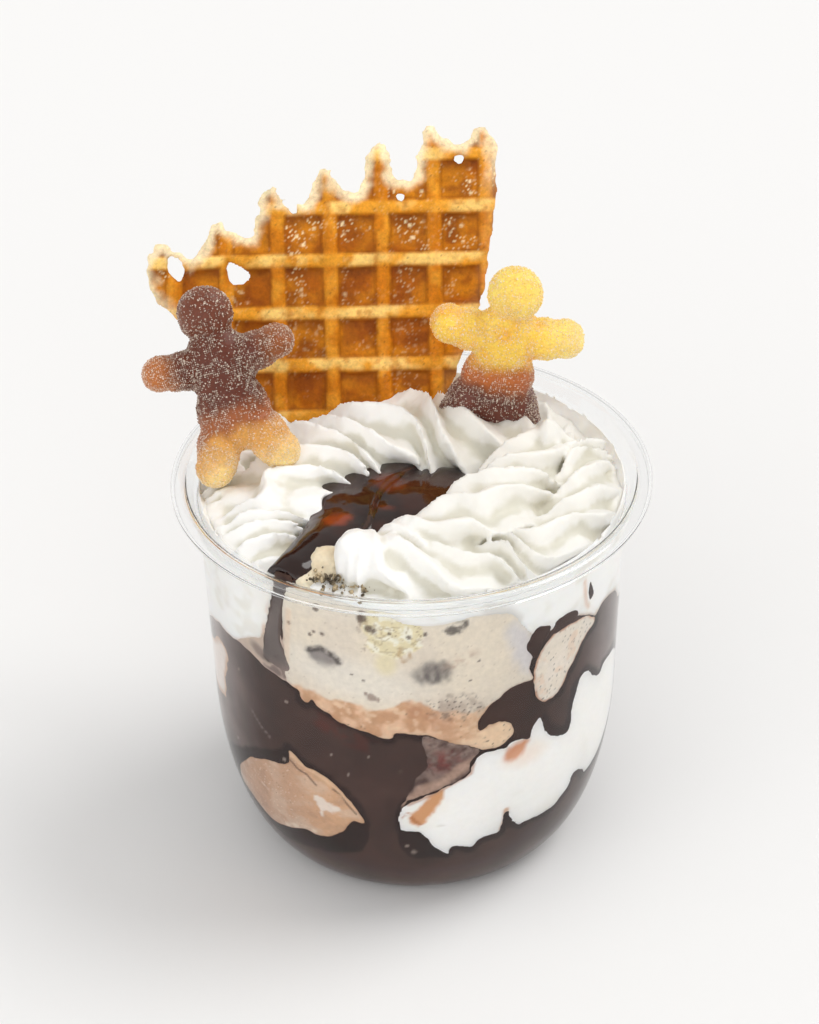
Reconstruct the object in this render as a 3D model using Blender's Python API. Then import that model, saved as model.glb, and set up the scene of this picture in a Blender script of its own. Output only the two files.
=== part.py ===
"""Ice cream sundae in a clear cup: sauce, scoops, cream, a waffle piece and two sugared gummy figures.

Metres, +Z up. The origin is the centre of the cup's flat base, and -Y is the shown side.
Angles round the cup are measured from the shown side towards +X.
"""
import math

import bmesh
import bpy
import numpy as np
from mathutils import Matrix, Vector, noise

MM = 0.001
GAP = 0.3 * MM

# The cup
CUP_HEIGHT = 82.4 * MM
RIM_RADIUS = 47.5 * MM
WALL = 0.6 * MM
BASE_RADIUS = 27.3 * MM
BELLY_RADIUS = 41.0 * MM
BELLY_HEIGHT = 38.6 * MM
SHOULDER_RADIUS = 42.5 * MM
SHOULDER_HEIGHT = 77.6 * MM
LEDGE_WIDTH = 1.0 * MM
LEDGE_HEIGHT = 1.2 * MM
LIP_BEND = 1.7 * MM
CUP_SEGMENTS = 40
BELLY_STEPS = 6
LIP_STEPS = 5

# The sauce and what is sunk in it
SAUCE_LEVEL = 59.5 * MM
SAUCE_WAVE = 2.2 * MM
CREAM_CEILING = 110 * MM

# The whipped cream
ROPES = [  # each rope's middle line with its half width and half height, in mm
    [(-14.4, -28.6, 82.8, 1.6, 1.6), (-13.4, -28.9, 82.8, 4.9, 4.4), (-10.0, -29.9, 82.0, 6.6, 5.8),
     (-3.0, -32.6, 80.2, 7.4, 6.4), (6.0, -34.0, 79.0, 7.6, 6.6), (16.0, -32.0, 78.6, 7.6, 6.6),
     (25.5, -25.5, 78.4, 7.8, 6.8), (32.0, -15.5, 78.4, 7.8, 6.8), (34.5, -4.0, 78.4, 7.8, 6.8),
     (33.0, 8.0, 77.6, 7.2, 6.4)],
    [(-7.5, -27.5, 81.0, 2.0, 2.0), (-3.0, -26.9, 81.8, 6.0, 5.2), (5.5, -24.2, 81.6, 8.0, 6.4),
     (13.0, -19.4, 81.2, 8.6, 6.8), (18.0, -12.0, 81.0, 8.8, 6.8), (21.5, -4.0, 81.0, 8.6, 7.0),
     (24.5, 2.5, 80.6, 8.0, 7.0), (26.0, 8.0, 79.4, 7.0, 6.6)],
    [(29.0, 7.0, 77.0, 6.0, 6.5), (20.0, 10.5, 79.4, 10.5, 7.8), (10.5, 12.0, 80.2, 12.5, 8.2),
     (0.0, 12.5, 80.8, 13.4, 8.8), (-10.0, 10.0, 80.4, 13.4, 8.6), (-18.5, 4.5, 79.8, 13.2, 8.4),
     (-24.5, -5.0, 78.6, 11.6, 7.8), (-28.5, -14.8, 77.2, 10.0, 7.0), (-31.5, -23.5, 76.0, 8.0, 6.0),
     (-31.0, -29.5, 75.2, 5.4, 4.6), (-30.4, -33.0, 75.0, 1.4, 1.4)],
    [(36.0, 10.0, 73.0, 4.0, 5.0), (30.0, 22.0, 72.0, 8.0, 6.5), (16.0, 31.0, 72.8, 8.5, 7.0),
     (0.0, 34.0, 73.4, 8.5, 7.2), (-16.0, 30.0, 73.4, 8.5, 7.2), (-29.0, 20.0, 74.6, 8.0, 7.0),
     (-36.0, 6.0, 75.0, 7.0, 6.4), (-38.0, -8.0, 74.8, 5.0, 5.0)],
]
ROPE_STEP = 1.6
ROPE_RIDGES = 5
RIDGE_DEPTH = 0.42
RIDGE_PITCH = 40.0
PEAK_FOOT = (26.0, 7.5, 79.0)
PEAK_TIP = (27.4, 4.8, 90.0)
PEAK_WIDTH = 7.2
BED_HEIGHT = 79.5 * MM
BED_DROP = 3.0 * MM
BED_WAVE = 0.9 * MM
BED_SHOULDER = 30 * MM
BED_INNER = 13 * MM

# The waffle piece
WAFFLE_FOOT = Vector((0, 27.6 * MM, 85.3 * MM))
WAFFLE_LEAN = 30
WAFFLE_THICKNESS = 3.2 * MM
CELL_PITCH = 10.6 * MM
RIB_WIDTH = 2.4 * MM
CELL_DEPTH = 1.05 * MM
CELL_DRAFT = 0.7 * MM

# The gummy figures
GUMMY_THICKNESS = 10 * MM
GUMMY_BACK = 2.75 * MM


def clear_scene():
    for obj in list(bpy.data.objects):
        bpy.data.objects.remove(obj, do_unlink=True)


def material(name, colour, roughness, alpha=1.0):
    made = bpy.data.materials.new(name)
    made.use_nodes = True
    shader = made.node_tree.nodes["Principled BSDF"]
    shader.inputs["Base Color"].default_value = (*colour, 1)
    shader.inputs["Roughness"].default_value = roughness
    shader.inputs["Metallic"].default_value = 0
    shader.inputs["Alpha"].default_value = alpha
    made.diffuse_color = (*colour, alpha)
    return made


def add_object(name, mesh, made_of=None):
    obj = bpy.data.objects.new(name, mesh)
    bpy.context.scene.collection.objects.link(obj)
    if made_of:
        mesh.materials.append(made_of)
    return obj


def mesh_from(bm, name):
    bmesh.ops.recalc_face_normals(bm, faces=bm.faces)
    mesh = bpy.data.meshes.new(name)
    bm.to_mesh(mesh)
    bm.free()
    return mesh


def polar(angle, radius, height):
    turn = math.radians(angle)
    return Vector((radius * math.sin(turn), -radius * math.cos(turn), height))


def apply_modifiers(obj):
    """Replace the object's mesh with what its modifiers make."""
    graph = bpy.context.evaluated_depsgraph_get()
    graph.update()
    made = bpy.data.meshes.new_from_object(obj.evaluated_get(graph))
    obj.modifiers.clear()
    obj.data = made


def combine(obj, other, operation, keep=False):
    """Boolean of two objects, applied; the other object is removed unless it is kept."""
    cut = obj.modifiers.new(operation.lower(), "BOOLEAN")
    cut.operation = operation
    cut.object = other
    cut.solver = "EXACT"
    apply_modifiers(obj)
    if not keep:
        bpy.data.objects.remove(other, do_unlink=True)


def keep_largest(obj):
    """Drop the scraps that the cuts leave."""
    bm = bmesh.new()
    bm.from_mesh(obj.data)
    left = set(bm.faces)
    islands = []
    while left:
        stack = [left.pop()]
        island = list(stack)
        while stack:
            for edge in stack.pop().edges:
                for face in edge.link_faces:
                    if face in left:
                        left.remove(face)
                        stack.append(face)
                        island.append(face)
        islands.append(island)
    islands.sort(key=lambda island: sum(face.calc_area() for face in island))
    scraps = [face for island in islands[:-1] for face in island]
    bmesh.ops.delete(bm, geom=scraps, context="FACES")
    bmesh.ops.triangulate(bm, faces=bm.faces)
    bm.to_mesh(obj.data)
    bm.free()


def grown(obj, distance=1.4 * GAP):
    """A cutter a little larger than the object, so that what it cuts keeps a gap."""
    room = obj.copy()
    room.data = obj.data.copy()
    bpy.context.scene.collection.objects.link(room)
    normals = [vert.normal.copy() for vert in room.data.vertices]
    for vert, normal in zip(room.data.vertices, normals):
        vert.co += normal * distance
    return room


def remesh(obj, voxel, triangles):
    """Melt overlapping closed shapes into one skin and thin it to about so many triangles."""
    melt = obj.modifiers.new("melt", "REMESH")
    melt.mode = "VOXEL"
    melt.voxel_size = voxel
    apply_modifiers(obj)
    obj.data.calc_loop_triangles()
    thin = obj.modifiers.new("thin", "DECIMATE")
    thin.ratio = min(1, triangles / len(obj.data.loop_triangles))
    apply_modifiers(obj)


# The cup

def outer_profile(offset):
    """The cup's section from its axis to the shoulder, moved inwards by the offset."""
    points = [(0, offset), (BASE_RADIUS - offset * 0.4, offset)]
    for step in range(1, BELLY_STEPS + 1):
        turn = math.radians(90 * step / BELLY_STEPS)
        radius = BASE_RADIUS + (BELLY_RADIUS - BASE_RADIUS) * math.sin(turn)
        height = BELLY_HEIGHT * (1 - math.cos(turn))
        steepness = math.atan2(BELLY_HEIGHT * math.sin(turn),
                               (BELLY_RADIUS - BASE_RADIUS) * math.cos(turn))
        points.append((radius - offset * math.sin(steepness), height + offset * math.cos(steepness)))
    points.append((SHOULDER_RADIUS - offset, SHOULDER_HEIGHT))
    return points


def lip_profile(offset):
    """The ledge below the rim and the lip that curls over, moved inwards by the offset."""
    ledge = SHOULDER_RADIUS + LEDGE_WIDTH
    points = [(ledge - offset, SHOULDER_HEIGHT + LEDGE_HEIGHT)]
    centre = (RIM_RADIUS - LIP_BEND, CUP_HEIGHT - LIP_BEND)
    bend = LIP_BEND - WALL + offset if offset < WALL else LIP_BEND
    for step in range(LIP_STEPS + 1):
        turn = math.radians(165 - 200 * step / LIP_STEPS)
        points.append((centre[0] + bend * math.cos(turn), centre[1] + bend * math.sin(turn)))
    return points


def ring_of(bm, radius, height):
    """A ring of vertices about Z; the height is a number or a function of the vertex's angle."""
    ring = []
    for k in range(CUP_SEGMENTS):
        angle = 360 * k / CUP_SEGMENTS
        ring.append(bm.verts.new(polar(angle, radius, height(angle) if callable(height) else height)))
    return ring


def bridge(bm, rings):
    """Faces between rings that follow each other; a ring of one vertex is a point."""
    for low, high in zip(rings, rings[1:]):
        count = max(len(low), len(high))
        for k in range(count):
            after = (k + 1) % count
            corners = [low[k % len(low)], low[after % len(low)], high[after % len(high)], high[k % len(high)]]
            bm.faces.new(dict.fromkeys(corners))


def revolve(points, name):
    """Turn a section that starts and ends on the axis about Z."""
    bm = bmesh.new()
    rings = [ring_of(bm, radius, height) if radius > 0 else [bm.verts.new((0, 0, height))]
             for radius, height in points]
    bridge(bm, rings)
    return mesh_from(bm, name)


def make_cup(made_of):
    outside = outer_profile(0) + lip_profile(0)
    inside = outer_profile(WALL) + lip_profile(WALL)
    cup = add_object("cup", revolve(outside + inside[::-1], "cup"), made_of)
    cup.data.shade_smooth()
    cup.data.set_sharp_from_angle(angle=math.radians(40))
    return cup


def inside_volume(top):
    """All the room in the cup up to a height, a gap clear of the wall."""
    section = outer_profile(WALL + GAP) + [(SHOULDER_RADIUS - WALL - GAP, top), (0, top)]
    return add_object("inside", revolve(section, "inside"))


# The contents

def sauce_level(angle, share):
    """Height of the sauce at an angle and at a share of the radius."""
    turn = math.radians(angle)
    wave = math.sin(2 * turn + 0.8) + 0.6 * math.sin(5 * turn + 2.0)
    return SAUCE_LEVEL + SAUCE_WAVE * share * wave


def sauce_body(name, grow=0.0):
    """The room that the sauce takes, before the scoops are cut from it."""
    bm = bmesh.new()
    wall = WALL + GAP - 2 * grow
    (_, floor), *section = outer_profile(wall)[:-1]
    rings = [[bm.verts.new((0, 0, floor - grow))]]
    rings += [ring_of(bm, radius, height - grow) for radius, height in section]
    reach = (SHOULDER_RADIUS + BELLY_RADIUS) / 2 - wall
    for share in (1.0, 0.66, 0.33):
        rings.append(ring_of(bm, reach * share, lambda angle: sauce_level(angle, share) + grow))
    rings.append([bm.verts.new((0, 0, SAUCE_LEVEL + grow))])
    bridge(bm, rings)
    bmesh.ops.triangulate(bm, faces=bm.faces)
    return add_object(name, mesh_from(bm, name))


def add_lump(bm, centre, radii, turn=(0, 0, 0), rough=0.0, detail=3):
    """One ellipsoid with uneven sides."""
    made = bmesh.ops.create_icosphere(bm, subdivisions=detail, radius=1.0)
    spin = Matrix.Rotation(math.radians(turn[2]), 3, "Z")
    spin = spin @ Matrix.Rotation(math.radians(turn[1]), 3, "Y")
    spin = spin @ Matrix.Rotation(math.radians(turn[0]), 3, "X")
    for vert in made["verts"]:
        swell = 1 + rough * noise.noise(vert.co * 2.1 + Vector(centre) * 60)
        vert.co = centre + spin @ Vector([part * size * swell for part, size in zip(vert.co, radii)])


def lumps(name, parts, voxel, triangles):
    """Melt a few ellipsoids, each (centre, radii, turn, roughness), into one lump."""
    bm = bmesh.new()
    for centre, radii, turn, rough in parts:
        add_lump(bm, centre, radii, turn, rough)
    obj = add_object(name, mesh_from(bm, name))
    remesh(obj, voxel, triangles)
    return obj


def mm(*values):
    return Vector([value * MM for value in values])


SCOOP = [
    (mm(-2, -17.5, 62), mm(30, 33, 18.5), (0, 0, 0), 0.05),
    (mm(-16.5, -28.5, 70.5), mm(12, 12, 12.5), (0, 0, 0), 0.10),
    (mm(2, -26, 68), mm(18, 14, 11), (0, 0, 0), 0.08),
    (mm(15.5, -37, 46), mm(5, 6, 4.5), (0, 0, 0), 0.1),
]
SIDE_SCOOP = [
    (polar(41, 36 * MM, 53.5 * MM), mm(6, 7.5, 6.5), (0, 0, 41), 0.1),
    (polar(46, 37 * MM, 57.5 * MM), mm(6, 7.5, 6), (0, 0, 46), 0.1),
    (polar(51, 37 * MM, 61 * MM), mm(5.5, 7.5, 5.5), (0, 0, 50), 0.1),
]
MOCHA = [(polar(-41, 27 * MM, 23.2 * MM), mm(20, 18, 12.5), (0, 21, -41), 0.05)]
CREAM_LOWER = [
    (polar(10, 34 * MM, 27 * MM), mm(10, 10, 9), (0, 0, 10), 0.14),
    (polar(25, 34 * MM, 32.5 * MM), mm(9, 10, 10), (0, 0, 25), 0.14),
    (polar(40, 33 * MM, 30 * MM), mm(10, 11, 11), (0, 0, 40), 0.14),
    (polar(56, 34 * MM, 38 * MM), mm(9, 10, 11), (0, 0, 56), 0.14),
    (polar(72, 34 * MM, 38 * MM), mm(10, 10, 12), (0, 0, 72), 0.14),
]
POOL = [
    (mm(-1, -8, 79.2), mm(20, 14, 3.4), (0, 0, 0), 0.08),
    (mm(-9, -13, 79.2), mm(12, 11, 3.4), (0, 0, 0), 0.08),
]


def fudge_top_body():
    """The sauce on top: a pool, a stream towards the front left and a run down the wall."""
    bm = bmesh.new()
    for centre, radii, turn, rough in POOL:
        add_lump(bm, centre, radii, turn, rough)
    route = [mm(-12, -16, 79.4), mm(-17, -24, 79.8), mm(-22, -31, 79.6), mm(-25, -33, 77.6),
             polar(-40, 41.2 * MM, 74 * MM), polar(-41.5, 41.0 * MM, 68 * MM), polar(-43, 40.8 * MM, 63 * MM)]
    widths = [8, 6, 4.2, 3.2, 2.6, 2.5, 2.2]
    for start, end, wide, narrow in zip(route, route[1:], widths, widths[1:]):
        for step in range(4):
            share = step / 4
            radius = (wide + (narrow - wide) * share) * MM
            flat = min(radius, 3.0 * MM)
            size = (radius, radius, flat) if start.z > 77.7 * MM else (radius, flat, radius)
            add_lump(bm, start.lerp(end, share), size, (0, 0, -40), detail=2)
    obj = add_object("fudge_top", mesh_from(bm, "fudge_top"))
    remesh(obj, 0.9 * MM, 640)
    return obj


# The whipped cream

def uneven(values, seed):
    """Smooth unevenness along a line, from -1 to 1, a swing to each unit of length."""
    steps = np.random.default_rng(seed).uniform(-1, 1, 64)
    cell = np.floor(values).astype(int)
    part = values - cell
    ease = part * part * (3 - 2 * part)
    return steps[cell % 64] * (1 - ease) + steps[(cell + 1) % 64] * ease


def ramp(values, low, high):
    """0 below low, 1 above high and smooth between."""
    share = np.clip((values - low) / (high - low), 0, 1)
    return share * share * (3 - 2 * share)


def spline(knots, step):
    """A curve through the knots, with points about a step apart."""
    knots = np.asarray(knots, float)
    ends = np.concatenate([2 * knots[:1] - knots[1:2], knots, 2 * knots[-1:] - knots[-2:-1]])
    pieces = []
    for before, start, stop, beyond in zip(ends, ends[1:], ends[2:], ends[3:]):
        count = max(2, int(np.linalg.norm((stop - start)[:3]) / step))
        share = (np.arange(count) / count)[:, None]
        pieces.append(0.5 * (2 * start + (stop - before) * share
                             + (2 * before - 5 * start + 4 * stop - beyond) * share ** 2
                             + (3 * start - before - 3 * stop + beyond) * share ** 3))
    return np.concatenate(pieces + [knots[-1:]])


def piped_rope(bm, points, wide, tall, depth, turns):
    """Sweep a section with sharp ridges along points, turned by an angle at each."""
    rings = []
    count = 4 * ROPE_RIDGES
    for k, point in enumerate(points):
        along = Vector(points[min(k + 1, len(points) - 1)] - points[max(k - 1, 0)]).normalized()
        across = along.cross(Vector((0, 0, 1)))
        across = across.normalized() if across.length > 0.2 else Vector((1, 0, 0))
        side = across.cross(along)
        ring = []
        for j in range(count):
            turn = 2 * math.pi * j / count + turns[k]
            reach = 1 - depth[k] * abs(math.sin(math.pi * j / 4))
            swing = side * (tall[k] * math.cos(turn)) + across * (wide[k] * math.sin(turn))
            ring.append(bm.verts.new((Vector(point) + swing * reach) * MM))
        rings.append(ring)
    bridge(bm, rings)
    bm.faces.new(rings[0][::-1])
    bm.faces.new(rings[-1])


def add_ropes(bm):
    """The ropes of cream, uneven in width, course and twist as a piping bag leaves them."""
    for seed, knots in enumerate(ROPES, 151):
        line = spline(knots, ROPE_STEP)
        hops = np.linalg.norm(np.diff(line[:, :3], axis=0), axis=1)
        length = np.concatenate([[0], np.cumsum(hops)])
        swell = 1.05 + 0.07 * uneven(length / 5, seed) + 0.09 * uneven(length / 9, seed + 10)
        turns = 2 * math.pi * length / RIDGE_PITCH + 1.3 * uneven(length / 10, seed + 20)
        stray = np.stack([uneven(length / 8, seed + 30 + k) for k in range(3)], -1) * (1, 1, 0.7)
        depth = RIDGE_DEPTH * (0.25 + 0.75 * ramp(length, 2, 14))
        piped_rope(bm, line[:, :3] + stray, line[:, 3] * swell, line[:, 4] * swell, depth, turns)


def add_peak(bm):
    """The pulled tip at the right, narrowing upwards."""
    share = np.linspace(0, 1, 14)
    line = np.array(PEAK_FOOT) + share[:, None] * (np.array(PEAK_TIP) - PEAK_FOOT)
    width = PEAK_WIDTH * (1 - share) ** 0.9 + 0.35
    piped_rope(bm, line, width, width, 0.3 + 0 * share, 1.6 * share)


def cream_bed(bm):
    """The ring of cream under the piping, past the wall and down into the sauce, to be cut later."""
    def height(radius, drop=0.0):
        return lambda angle: (BED_HEIGHT - drop - BED_DROP * (1 - math.cos(math.radians(angle))) / 2
                              + BED_WAVE * math.sin(7 * math.radians(angle) + radius / MM))
    outer = SHOULDER_RADIUS + 1 * MM
    low = SAUCE_LEVEL - 6 * MM
    rings = [ring_of(bm, BED_INNER, low), ring_of(bm, outer, low), ring_of(bm, outer, height(outer)),
             ring_of(bm, BED_SHOULDER, height(BED_SHOULDER)),
             ring_of(bm, BED_INNER, height(BED_INNER, 4 * MM))]
    bridge(bm, rings + rings[:1])


def whipped_cream_body():
    bm = bmesh.new()
    add_ropes(bm)
    add_peak(bm)
    cream_bed(bm)
    obj = add_object("whipped_cream", mesh_from(bm, "whipped_cream"))
    remesh(obj, 1.2 * MM, 2000)
    keep_largest(obj)
    return obj


# The waffle piece

TEETH = [  # along the waffle, height of the rib's broken tip, depth of the bay after it, in mm
    (-49.7, 29.4, 2.6), (-38.6, 33.6, 2.5), (-27.4, 40.2, 2.8), (-16.4, 44.0, 4.2),
    (-5.6, 48.9, 7.0), (5.4, 52.0, 3.0), (15.8, 51.9, 0),
]


def waffle_outline(grow=0.0):
    """The broken top edge, a tip on each rib and a bay between; then the cut sides and the foot."""
    edge = [(-53.4, 25.0)]
    for (along, height, bay), after in zip(TEETH, TEETH[1:] + [(19.0, 50.4, 0)]):
        edge += [(along - 1.3, height - 0.8), (along + 0.9, height)]
        if bay:
            middle = (along + after[0]) / 2
            base = min(height, after[1]) - bay
            edge += [(middle - 2.2, base + 0.4), (middle + 1.4, base)]
    edge += [(19.0, 50.0), (18.3, 37.0), (16.5, 24.3), (14.3, 14.5), (7.4, -3.0), (4, -11.0),
             (-25, -11.0), (-31, -3.0), (-44.0, 11.0), (-51.5, 18.0)]
    centre = Vector((-12, 20))
    points = []
    for along, up in edge:
        point = Vector((along, up))
        points.append((point + (point - centre).normalized() * (grow / MM)) * MM)
    return points


def plate(points, low, high, name):
    bm = bmesh.new()
    face = bm.faces.new([bm.verts.new((x, y, low)) for x, y in points])
    made = bmesh.ops.extrude_face_region(bm, geom=[face])
    for vert in made["geom"]:
        if isinstance(vert, bmesh.types.BMVert):
            vert.co.z = high
    bmesh.ops.triangulate(bm, faces=bm.faces)
    return add_object(name, mesh_from(bm, name))


def add_frustum(bm, centre, low, low_half, high, high_half):
    rings = []
    for height, half in ((low, low_half), (high, high_half)):
        corners = [(-half, -half), (half, -half), (half, half), (-half, half)]
        rings.append([bm.verts.new((centre[0] + x, centre[1] + y, height)) for x, y in corners])
    bm.faces.new(rings[0][::-1])
    bm.faces.new(rings[1])
    for j in range(4):
        after = (j + 1) % 4
        bm.faces.new((rings[0][j], rings[0][after], rings[1][after], rings[1][j]))


def waffle_cells():
    """Tapered pockets from both faces, in the waffle's own plane."""
    bm = bmesh.new()
    half = (CELL_PITCH - RIB_WIDTH) / 2
    face = WAFFLE_THICKNESS / 2
    floor = face - CELL_DEPTH
    for column in range(-5, 3):
        for row in range(-2, 5):
            centre = ((column + 0.5) * CELL_PITCH - 5.0 * MM, (row + 0.5) * CELL_PITCH + 4.1 * MM)
            add_frustum(bm, centre, floor, half - CELL_DRAFT, face + CELL_DRAFT, half + CELL_DRAFT * 0.6)
            add_frustum(bm, centre, -face - CELL_DRAFT, half + CELL_DRAFT * 0.6, -floor, half - CELL_DRAFT)
    return add_object("cells", mesh_from(bm, "cells"))


def waffle_place():
    lean = Matrix.Rotation(math.radians(90 - WAFFLE_LEAN), 4, "X")
    return Matrix.Translation(WAFFLE_FOOT) @ lean


def place(obj, where):
    obj.data.transform(where)
    return obj


def make_waffle(made_of):
    face = WAFFLE_THICKNESS / 2
    obj = plate(waffle_outline(), -face, face, "waffle")
    combine(obj, waffle_cells(), "DIFFERENCE")
    for along, up, size in ((-34.6, 22.6, 1.7), (-23.6, 36.6, 1.6), (-47.2, 24.0, 1.6), (10.6, 44.8, 1.0)):
        centre = Vector((along, up)) * MM
        corners = [centre + Vector((math.cos(2.1 * k), math.sin(2.1 * k))) * size * MM for k in range(3)]
        combine(obj, plate(corners, -face * 2, face * 2, "hole"), "DIFFERENCE")
    keep_largest(obj)
    obj.data.materials.append(made_of)
    return place(obj, waffle_place())


def waffle_room():
    face = WAFFLE_THICKNESS / 2 + GAP
    return place(plate(waffle_outline(GAP), -face, face, "waffle_room"), waffle_place())


# The gummy figures

GUMMY_LEFT = (mm(-31.6, -0.5, 83.6), 25, 15)
GUMMY_RIGHT = (mm(15.6, 17.5, 81.5), -3, -10)
GUMMY_PARTS = [  # place, half sizes and turn of each lump, in mm and degrees
    ((0, 31.3), (5.5, 5.6), 0), ((0, 20.5), (6.8, 8.6), 0), ((0, 11.5), (7.3, 8.0), 0),
    ((-7.4, 21.8), (5.6, 3.9), -4), ((7.4, 21.8), (5.6, 3.9), 4),
    ((-11.6, 22.5), (3.8, 3.5), 0), ((11.6, 22.5), (3.8, 3.5), 0),
    ((-5.0, 5.0), (4.3, 6.6), -18), ((5.0, 5.0), (4.3, 6.6), 18),
    ((-6.7, 1.6), (3.8, 3.8), 0), ((6.7, 1.6), (3.8, 3.8), 0),
]
JOINED_LEGS = [((0, 5.0), (7.0, 7.0), 0)]


def gummy_body(name, where, extra=()):
    """A round-headed gingerbread figure, arms out, with a flat back."""
    foot, lean, roll = where
    thick = GUMMY_THICKNESS / 2
    bm = bmesh.new()
    for (x, y), (wide, tall), turn in (*GUMMY_PARTS, *extra):
        add_lump(bm, mm(x, y, 0), (wide * MM, tall * MM, thick), (0, 0, turn), detail=3)
    low = -GUMMY_BACK
    obj = add_object(name, mesh_from(bm, name))
    remesh(obj, 0.8 * MM, 640)
    bm = bmesh.new()
    bm.from_mesh(obj.data)
    cut = bmesh.ops.bisect_plane(bm, geom=bm.verts[:] + bm.edges[:] + bm.faces[:], dist=1e-7,
                                 plane_co=(0, 0, low), plane_no=(0, 0, -1), clear_outer=True)
    rim = [part for part in cut["geom_cut"] if isinstance(part, bmesh.types.BMEdge)]
    bmesh.ops.contextual_create(bm, geom=rim)
    bmesh.ops.triangulate(bm, faces=bm.faces)
    bmesh.ops.recalc_face_normals(bm, faces=bm.faces)
    bm.to_mesh(obj.data)
    bm.free()
    stand = Matrix.Rotation(math.radians(90 - lean), 4, "X")
    spin = Matrix.Rotation(math.radians(roll), 4, "Z")
    return place(obj, Matrix.Translation(foot) @ stand @ spin)


def main():
    clear_scene()
    clear = material("clear_plastic", (0.95, 0.97, 0.97), 0.05, 0.35)
    dark = material("dark_fudge", (0.028, 0.011, 0.007), 0.25)
    beige = material("cookie_ice_cream", (0.72, 0.60, 0.43), 0.6)
    speckled = material("speckled_ice_cream", (0.74, 0.68, 0.58), 0.6)
    brown = material("mocha_ice_cream", (0.50, 0.29, 0.19), 0.6)
    white = material("whipped_cream", (0.90, 0.88, 0.83), 0.5)
    baked = material("waffle", (0.55, 0.25, 0.06), 0.6)
    plum = material("sugared_plum", (0.30, 0.14, 0.10), 0.7)
    yellow = material("sugared_yellow", (0.88, 0.60, 0.20), 0.7)

    make_cup(clear)

    scoop = lumps("ice_cream_scoop", SCOOP, 1.6 * MM, 560)
    side = lumps("ice_cream_side", SIDE_SCOOP, 0.8 * MM, 240)
    mocha = lumps("mocha_ice_cream", MOCHA, 1.4 * MM, 320)
    lower = lumps("cream_lower", CREAM_LOWER, 1.3 * MM, 540)
    top = fudge_top_body()
    left = gummy_body("gummy_left", GUMMY_LEFT)
    right = gummy_body("gummy_right", GUMMY_RIGHT, JOINED_LEGS)
    waffle = make_waffle(baked)
    cream = whipped_cream_body()
    sauce = sauce_body("fudge_sauce")

    room = {piece: grown(piece) for piece in (scoop, side, mocha, lower, top, left, right)}
    room["sauce"] = sauce_body("sauce_room", GAP)
    room[waffle] = waffle_room()
    for piece in (scoop, side, mocha, lower, top, cream):
        combine(piece, inside_volume(CREAM_CEILING), "INTERSECT")
    cuts = {
        side: (scoop,),
        lower: (scoop, side, mocha),
        scoop: (top,),
        top: ("sauce",),
        cream: (scoop, side, "sauce", top, waffle, left, right),
        sauce: (scoop, side, mocha, lower),
    }
    for piece, others in cuts.items():
        for other in others:
            combine(piece, room[other], "DIFFERENCE", keep=True)
        keep_largest(piece)
    for cutter in room.values():
        bpy.data.objects.remove(cutter, do_unlink=True)

    finishes = {scoop: beige, side: speckled, mocha: brown, lower: white, sauce: dark, top: dark,
                cream: white, left: plum, right: yellow}
    for piece, finish in finishes.items():
        piece.data.materials.clear()
        piece.data.materials.append(finish)
        piece.data.shade_smooth()


main()
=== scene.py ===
"""Looks of the ice cream sundae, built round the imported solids.

The shapes below are worked out in millimetres and scaled once, in add_mesh.
Angles round the cup are in degrees from the shown side towards +X.
"""
import itertools
import math

import bmesh
import bpy
import numpy as np
from mathutils import Matrix, Vector


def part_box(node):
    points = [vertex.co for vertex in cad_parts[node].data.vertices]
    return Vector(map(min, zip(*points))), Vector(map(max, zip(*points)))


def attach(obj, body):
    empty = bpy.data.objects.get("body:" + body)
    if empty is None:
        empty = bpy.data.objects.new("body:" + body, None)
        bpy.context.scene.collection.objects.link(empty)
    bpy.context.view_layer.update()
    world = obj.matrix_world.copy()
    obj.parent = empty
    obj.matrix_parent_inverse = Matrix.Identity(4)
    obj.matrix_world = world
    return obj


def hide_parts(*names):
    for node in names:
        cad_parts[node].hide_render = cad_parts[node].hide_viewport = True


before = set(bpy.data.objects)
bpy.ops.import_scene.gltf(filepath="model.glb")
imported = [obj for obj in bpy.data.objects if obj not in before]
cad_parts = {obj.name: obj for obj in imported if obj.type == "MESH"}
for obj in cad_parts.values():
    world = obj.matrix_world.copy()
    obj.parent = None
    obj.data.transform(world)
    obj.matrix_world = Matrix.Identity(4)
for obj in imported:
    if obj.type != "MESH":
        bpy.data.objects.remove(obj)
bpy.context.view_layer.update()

MM = 0.001


# The cup's section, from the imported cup

RIM_RADIUS, _, CUP_HEIGHT = np.array(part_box("cup")[1]) / MM
WALL = 0.6
BASE_RADIUS = 27.3
BELLY_RADIUS = 41.0
BELLY_HEIGHT = 38.6
SHOULDER_RADIUS = 42.5
SHOULDER_HEIGHT = 77.6
LEDGE_WIDTH = 1.0
LEDGE_HEIGHT = 1.2
LIP_BEND = 1.7
ARC = math.radians(1) * 41.5   # millimetres along the wall in one degree

# How far below the cup's outer face each kind of food lies
SAUCE_DEPTH = 0.46
FOOD_DEPTH = 0.37
CREAM_DEPTH = 0.30
RUN_DEPTH = 0.22
CREAM_GAP = 0.72
EDGE_REACH = 0.55    # how far the rounded edge of such food goes on past its outline
GRID_MARGIN = 1.2


# Meshes

def link(name, data):
    obj = bpy.data.objects.new(name, data)
    bpy.context.scene.collection.objects.link(obj)
    return obj


def paint_mesh(mesh, colours):
    """Give each point its colour, which the materials read as tone."""
    layer = mesh.attributes.new("tone", "FLOAT_COLOR", "POINT")
    rgba = np.concatenate([colours, np.ones((len(colours), 1))], axis=1)
    layer.data.foreach_set("color", rgba.astype(np.float32).ravel())


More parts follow.
